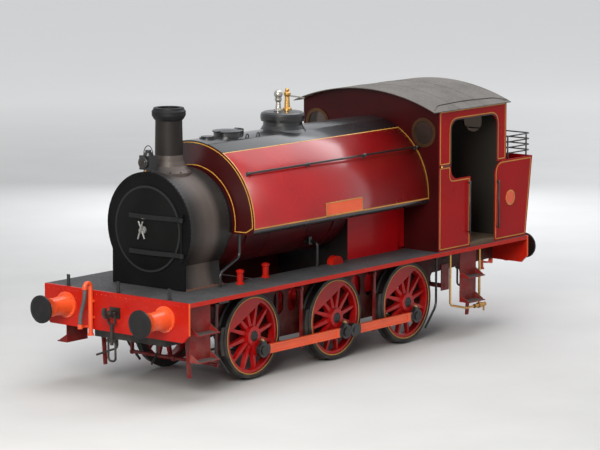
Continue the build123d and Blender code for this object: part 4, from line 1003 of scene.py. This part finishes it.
# %% Bolts in circles
chimney_length, foot_radius, foot_height = 2.490, 0.282, 2.800
rim_radius, window_height, hub_circle = 0.192, 2.970, 0.062
bolt_out, bolt_up = 0.63, 0.78
chimney_bolts, rim_bolts = [], []
for point in ring_points(1.0, (0, 0), 12, 15):
    outward = Vector((bolt_out * point.x, bolt_out * point.y, bolt_up)).normalized()
    place = at(chimney_length + foot_radius * point.x, foot_radius * point.y, foot_height)
    chimney_bolts.append((place, outward))
studs("chimney_bolts", chimney_bolts, 0.013, 0.014, "smokebox", domed=False)
for length, window_side, way in ((cab_front + 0.022, 0.960, 1), (cab_rear - 0.014, 0.620, -1)):
    for side in (-1, 1):
        circle = ring_points(rim_radius, (side * window_side, window_height), 8, 22.5)
        rim_bolts += laid(end_face(length, way), circle)
studs("rim_bolts", rim_bolts, 0.007, 0.005, "dull_brass")
for wheel_name, axle_x in axle_places.items():
    centre = Vector((axle_x, tread_radius))
    for side, side_name in both_sides:
        hub_bolts = laid(side_face(side, hub_face), [centre] + ring_points(hub_circle, centre, 6))
        studs(f"hub_bolts_{wheel_name}_{side_name}", hub_bolts, 0.010, 0.008, "black",
              body=f"wheelset_{wheel_name}", domed=False)
print("bolts", len(chimney_bolts) + len(rim_bolts) + 7 * 6)

# %% [markdown]
# The plates are blank, with a raised brass edge: a long one low on each side of the tank and a round
# one on each side of the bunker. The roof is rolled from three sheets with straps over the seams, and
# a bent rain strip over each door opening leads the drips away.

# %% Plate edges and roof straps
plate_round, plate_half, plate_ends = tank_radius * radians(87.0), 0.085, (-0.270, 0.510)
plate_low, plate_high = plate_round - plate_half, plate_round + plate_half
name_plate = [(plate_ends[0], plate_low), (plate_ends[1], plate_low), (plate_ends[1], plate_high),
              (plate_ends[0], plate_high)]
roof_arch, roof_middle = 3.2415, 0.3065


def roof_skin(length, across):
    """The roof's outer face, by length and side."""
    outward = Vector((0, across, sqrt(roof_arch ** 2 - across ** 2))) / roof_arch
    return at(length, 0, roof_middle) + outward * roof_arch, outward


plate_line = [Vector((length, plate_round)) for length in plate_ends]
round_plate, round_face = ring_points(0.103, (-3.502, 1.890), 48), 1.228
for side, side_name in both_sides:
    strip(f"name_plate_{side_name}", plate_line, tank_skin(side), "vermilion", width=2 * plate_half,
          proud=0.008, closed=False)
    strip(f"name_plate_edge_{side_name}", rounded(name_plate, 0.012), tank_skin(side), "brass", width=0.012,
          proud=0.011)
    strip(f"round_plate_edge_{side_name}", round_plate, side_face(side, round_face), "brass",
          width=0.013, proud=0.003)
    rain = [(length, side * across) for length, across in
            ((-1.68, 1.225), (-1.86, 1.120), (-2.55, 1.085), (-3.22, 1.120), (-3.40, 1.225))]
    strip(f"rain_strip_{side_name}", rounded(rain, 0.25, closed=False), roof_skin, "roof", width=0.012,
          proud=0.014, closed=False)
for seam_name, length in (("front", -2.225), ("rear", -2.830)):
    across_roof = [Vector((length, -1.265 + 2.53 * number / 24)) for number in range(25)]
    strip(f"roof_strap_{seam_name}", across_roof, roof_skin, "roof", width=0.045, proud=0.003, closed=False)
print("plates edged, roof strapped")

# %% [markdown]
# Inside the cab, two pressure gauges stand on the boiler's back. Each has a brass bezel, a pale dial
# with a ring of dots and a needle. They are read from the floor of the cab, so they face backwards.

# %% The pressure gauges
gauge_face, gauge_side, gauge_height, dot_circle = -2.025, 0.170, 2.560, 0.056
for side, side_name in both_sides:
    centre = Vector((side * gauge_side, gauge_height))
    turned(f"gauge_bezel_{side_name}", at(gauge_face, *centre), -forward,
           ((0.080, -0.002), (0.084, 0.004), (0.084, 0.012), (0.073, 0.016), (0.071, 0.004)), "brass")
    turned(f"gauge_dial_{side_name}", at(gauge_face - 0.003, *centre), -forward,
           ((0.070, 0.0), (0.070, 0.003)), "dial")
    dots = laid(end_face(gauge_face - 0.006, -1), ring_points(dot_circle, centre, 12, -30)[:9])
    studs(f"gauge_dots_{side_name}", dots, 0.004, 0.0015, "black")
    needle = [centre + Vector((0.012, -0.014)), centre + Vector((-0.034, 0.040))]
    strip(f"gauge_needle_{side_name}", needle, end_face(gauge_face - 0.008, -1), "black", width=0.006,
          proud=0.0015, closed=False)
print("gauges made")

# %% [markdown]
# Round bar makes the lamp's handle, the lifting eyes and all the rails. One helper sweeps circles
# along each bar, and a bar may change its thickness on the way, which will give a knob its ball.

# %% Round bar, the lamp's handle and the lifting eyes
def bent(name, bars, material, sides=12):
    """Round bars, each with points in a plane, that plane's direction, and a radius or one for each point."""
    mesh = bmesh.new()
    for path, square, radius in bars:
        radii = radius if isinstance(radius, list) else [radius] * len(path)
        loops = []
        for index, point in enumerate(path):
            ahead = (path[min(index + 1, len(path) - 1)] - path[max(index - 1, 0)]).normalized()
            across = ahead.cross(square)
            loops.append([mesh.verts.new(point + square * corner.x + across * corner.y)
                          for corner in ring_points(radii[index], (0, 0), sides)])
        skin(mesh, loops)
    return piece(name, mesh, material, smooth=True)


def hoop(centre, reach, rise, way):
    """Points of a half hoop that stands on its two feet."""
    turns = [pi * number / 12 for number in range(13)]
    return [centre + way * reach * cos(turn) + upright * rise * sin(turn) for turn in turns]


handle = hoop(at(2.893, 0, 3.033), 0.083, 0.130, sideways)
bent("lamp_handle", [(handle, forward, 0.006)], "black")
bent("lifting_eyes", [(hoop(at(length, across, 3.118), 0.028, 0.052, forward), sideways, 0.008)
                      for length in (1.147, 0.924) for across in (0.21, -0.21)], "black")
print("handle and four eyes bent")

# %% [markdown]
# The long handrails stand on knobs on the tank's rolled sides, so they are drawn again here, where
# those sides are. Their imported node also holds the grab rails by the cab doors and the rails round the
# bunker, so these are drawn too, and one piece takes the whole node's place.

# %% The rails
rail_side, rail_height, rail_radius = 0.875, 2.768, 0.015
rail_ends, rail_posts = (1.935, -1.790), (1.900, 0.660, -0.560, -1.740)
rail_out = Vector((0, rail_side, rail_height - boiler_height)).normalized()
grab_side, sheet_side = 1.256, 1.219
coal_side, coal_back, coal_post, coal_pitch = 1.194, -4.024, 2.789, 0.08125


def tank_rail(side):
    """The handrail along one side of the tank, with the feet and balls of its knobs."""
    out = Vector((0, side * rail_out.y, rail_out.z))
    bars = [([at(length, side * rail_side, rail_height) for length in rail_ends], upright, rail_radius)]
    for length in rail_posts:
        knob = at(length, side * rail_side, rail_height)
        foot = [knob - out * reach for reach in (0.060, 0.046, 0.045, 0.016)]
        ball = [knob + forward * reach for reach in (-0.026, -0.018, 0.0, 0.018, 0.026)]
        bars += [(foot, forward, [0.026, 0.026, 0.011, 0.013]),
                 (ball, upright, [0.015, 0.023, 0.027, 0.023, 0.015])]
    return bars


def grab_rails(side):
    """The two upright rails by one cab door, each on two short arms."""
    bars = []
    for length, low, high in ((-2.490, 1.480, 2.240), (-3.185, 1.480, 2.180)):
        bars.append(([at(length, side * grab_side, height) for height in (low, high)], forward, 0.012))
        for height in (low + 0.030, high - 0.030):
            arm = [at(length, side * reach, height) for reach in (sheet_side, grab_side)]
            bars.append((arm, forward, 0.010))
    return bars


def coal_rails():
    """Four rails round the bunker's top, and the posts that carry them."""
    corners = [(cab_rear, coal_side), (coal_back, coal_side), (coal_back, -coal_side), (cab_rear, -coal_side)]
    run = rounded(corners, 0.060, closed=False)
    bars = [([at(point.x, point.y, bunker_top + coal_pitch * number) for point in run], upright, 0.010)
            for number in range(1, 5)]
    posts = [(length, side * 1.203, 2.330) for length in (-3.460, -3.914) for side in (1, -1)]
    posts += [(coal_back - 0.010, across, 2.350) for across in (-0.600, 0.0, 0.600)]
    for length, across, low in posts:
        bars.append(([at(length, across, height) for height in (low, coal_post)], forward, 0.012))
    return bars


rails = tank_rail(1) + tank_rail(-1) + grab_rails(1) + grab_rails(-1) + coal_rails()
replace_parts(bent("rails", rails, "black"), "handrails")
print("bars in the rails", len(rails))

# %% [markdown]
# The brake hose at each end is ribbed rubber on one smooth curve: out of the swan neck straight down,
# then across to its dummy plug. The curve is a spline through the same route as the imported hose, read
# back as points, and the ribs come from a radius that swells at every second point.

# %% The brake hoses
def spline_points(route, pitch):
    """Even points along the smooth curve of a route."""
    line = bpy.data.curves.new("route", "CURVE")
    line.dimensions = "3D"
    line.resolution_u = 24
    spline = line.splines.new("NURBS")
    spline.points.add(len(route) - 1)
    for point, place in zip(spline.points, route):
        point.co = (*place, 1.0)
    spline.order_u = 3
    spline.use_endpoint_u = True
    guide = bpy.data.objects.new("route", line)
    scene.collection.objects.link(guide)
    bpy.context.view_layer.update()
    drawn = bpy.data.meshes.new_from_object(guide)
    corners = [vertex.co.copy() for vertex in drawn.vertices]
    bpy.data.objects.remove(guide)
    bpy.data.meshes.remove(drawn)
    points, left = [corners[0]], pitch
    for here, there in zip(corners, corners[1:]):
        span = (there - here).length
        while left <= span:
            points.append(here.lerp(there, left / span))
            left += pitch
        left -= span
    return points


rib_pitch, rib_height, hose_radius = 0.0075, 0.0012, 0.027
for end_name, length, side in (("front", front_end + 0.150, -1), ("rear", rear_end - 0.150, 1)):
    route = [at(length, side * 0.400, 1.320), at(length, side * 0.400, 1.200),
             at(length, side * 0.488, 0.960), at(length, side * 0.488, 0.850)]
    points = spline_points(route, rib_pitch)
    ribs = [hose_radius + (rib_height if number % 2 else -rib_height) for number in range(len(points))]
    hose = bent(f"brake_hose_{end_name}", [(points, forward, ribs)], "rubber", sides=20)
    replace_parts(hose, "brake_hoses")
    [tuple(point) for point in points]
print("hose points", len(points), "length", round(rib_pitch * (len(points) - 1), 3))

# %% [markdown]
# A plain studio shows paint best. Gloss paint mirrors whatever is above it, so a very large, dim soft
# box hangs over the whole engine, and a smaller, brighter and warmer one stands ahead on the left,
# where the photograph's light came from. The floor is pale, and far from the engine, where no lamp
# reaches, it glows a little, so that the backdrop stays pale while the engine keeps its shadow.

# %% The floor
def seen_directly(tree):
    """One for a ray from the camera, a mirror or a pane, and nothing for the light that the paint gathers."""
    path = add_node(tree, "ShaderNodeLightPath")
    total = path.outputs["Is Camera Ray"]
    for name in ("Is Glossy Ray", "Is Transmission Ray"):
        total = calculate(tree, "MAXIMUM", total, path.outputs[name])
    return total


def floor_finish():
    """A pale matt floor, with a glow that begins far from the engine."""
    material, tree, shader = new_material("studio_floor")
    coords = add_node(tree, "ShaderNodeTexCoord").outputs["Object"]
    where = split(tree, coords)
    speckle = ramp(tree, noise(tree, coords, 0.6, 5.0), 0.3, 0.7)
    glow = ramp(tree, radius_from(tree, where["X"], where["Y"], (0.0, 0.0)), 7.0, 32.0, 0.0, 0.50)
    wire(tree, shader, {
        "Base Color": mix(tree, speckle, (0.56, 0.56, 0.555), (0.60, 0.60, 0.595)),
        "Roughness": 0.9, "Specular IOR Level": 0.1, "Emission Color": (0.98, 0.99, 1.0, 1.0),
        "Emission Strength": multiply(tree, glow, seen_directly(tree)),
    })
    return material


floor_half = 60.0
floor_mesh = bmesh.new()
bmesh.ops.create_grid(floor_mesh, x_segments=1, y_segments=1, size=floor_half)
floor_data = bpy.data.meshes.new("floor")
floor_mesh.to_mesh(floor_data)
floor_mesh.free()
floor_data.materials.append(floor_finish())
floor = bpy.data.objects.new("floor", floor_data)
scene.collection.objects.link(floor)
print("floor", 2 * floor_half, "m square")

# %% [markdown]
# Each lamp is given by its brightness, as a sheet of white paper is, and its power follows from its
# area. So a larger soft box lights more and still mirrors no brighter in the paint. The one behind
# doesn't show in mirrors at all, because its glare would whiten the black top of the tank.

# %% Lamps and world
def soft_box(name, place, target, wide, deep, bright, colour):
    """An oblong soft lamp of that brightness, which looks at a point."""
    data = bpy.data.lights.new(name, "AREA")
    data.shape = "RECTANGLE"
    data.size, data.size_y = wide, deep
    data.energy = bright * pi * wide * deep
    data.color = colour
    light = bpy.data.objects.new(name, data)
    light.location = place
    light.rotation_euler = (Vector(target) - Vector(place)).to_track_quat("-Z", "Y").to_euler()
    scene.collection.objects.link(light)
    return light


loco_centre = Vector((0.0, 0.0, 1.75))
soft_box("sky", (-10.0, 1.0, 15.0), (-10.0, 1.001, 0.0), 36.0, 13.0, 2.5, (0.97, 0.98, 1.0))
soft_box("sun", (16.0, 8.0, 9.5), loco_centre, 8.0, 8.0, 16.0, (1.0, 0.965, 0.91))
soft_box("back", (-12.0, -10.0, 6.0), loco_centre, 7.0, 7.0, 5.0, (0.95, 0.97, 1.0)).visible_glossy = False
world = bpy.data.worlds.new("studio")
scene.world = world
world.use_nodes = True
backdrop = world.node_tree.nodes["Background"]
world_glow = ramp(world.node_tree, seen_directly(world.node_tree), 0.0, 1.0, 0.20, 0.72)
wire(world.node_tree, backdrop, {"Color": (0.93, 0.96, 1.0, 1.0), "Strength": world_glow})
scene.view_settings.view_transform = "Standard"

# %% [markdown]
# The photograph was taken from ahead of the engine, on its left and well above it. Solving its
# perspective from the spacing of the wheels and of the buffers gave the place of the lens, and a
# longer lens brings the engine up to fill the picture from that same place.

# %% The camera
lens_place = at(33.32, 27.61, 8.32)
aim = Vector((-0.05, 0.0, 1.78))
lens = bpy.data.cameras.new("camera")
lens.sensor_width = 36.0
lens.lens = 190.0
lens.clip_end = 400.0
camera = bpy.data.objects.new("camera", lens)
camera.location = lens_place
camera.rotation_euler = (aim - lens_place).to_track_quat("-Z", "Y").to_euler()
scene.collection.objects.link(camera)
scene.camera = camera
print("camera distance", round((aim - lens_place).length, 1))
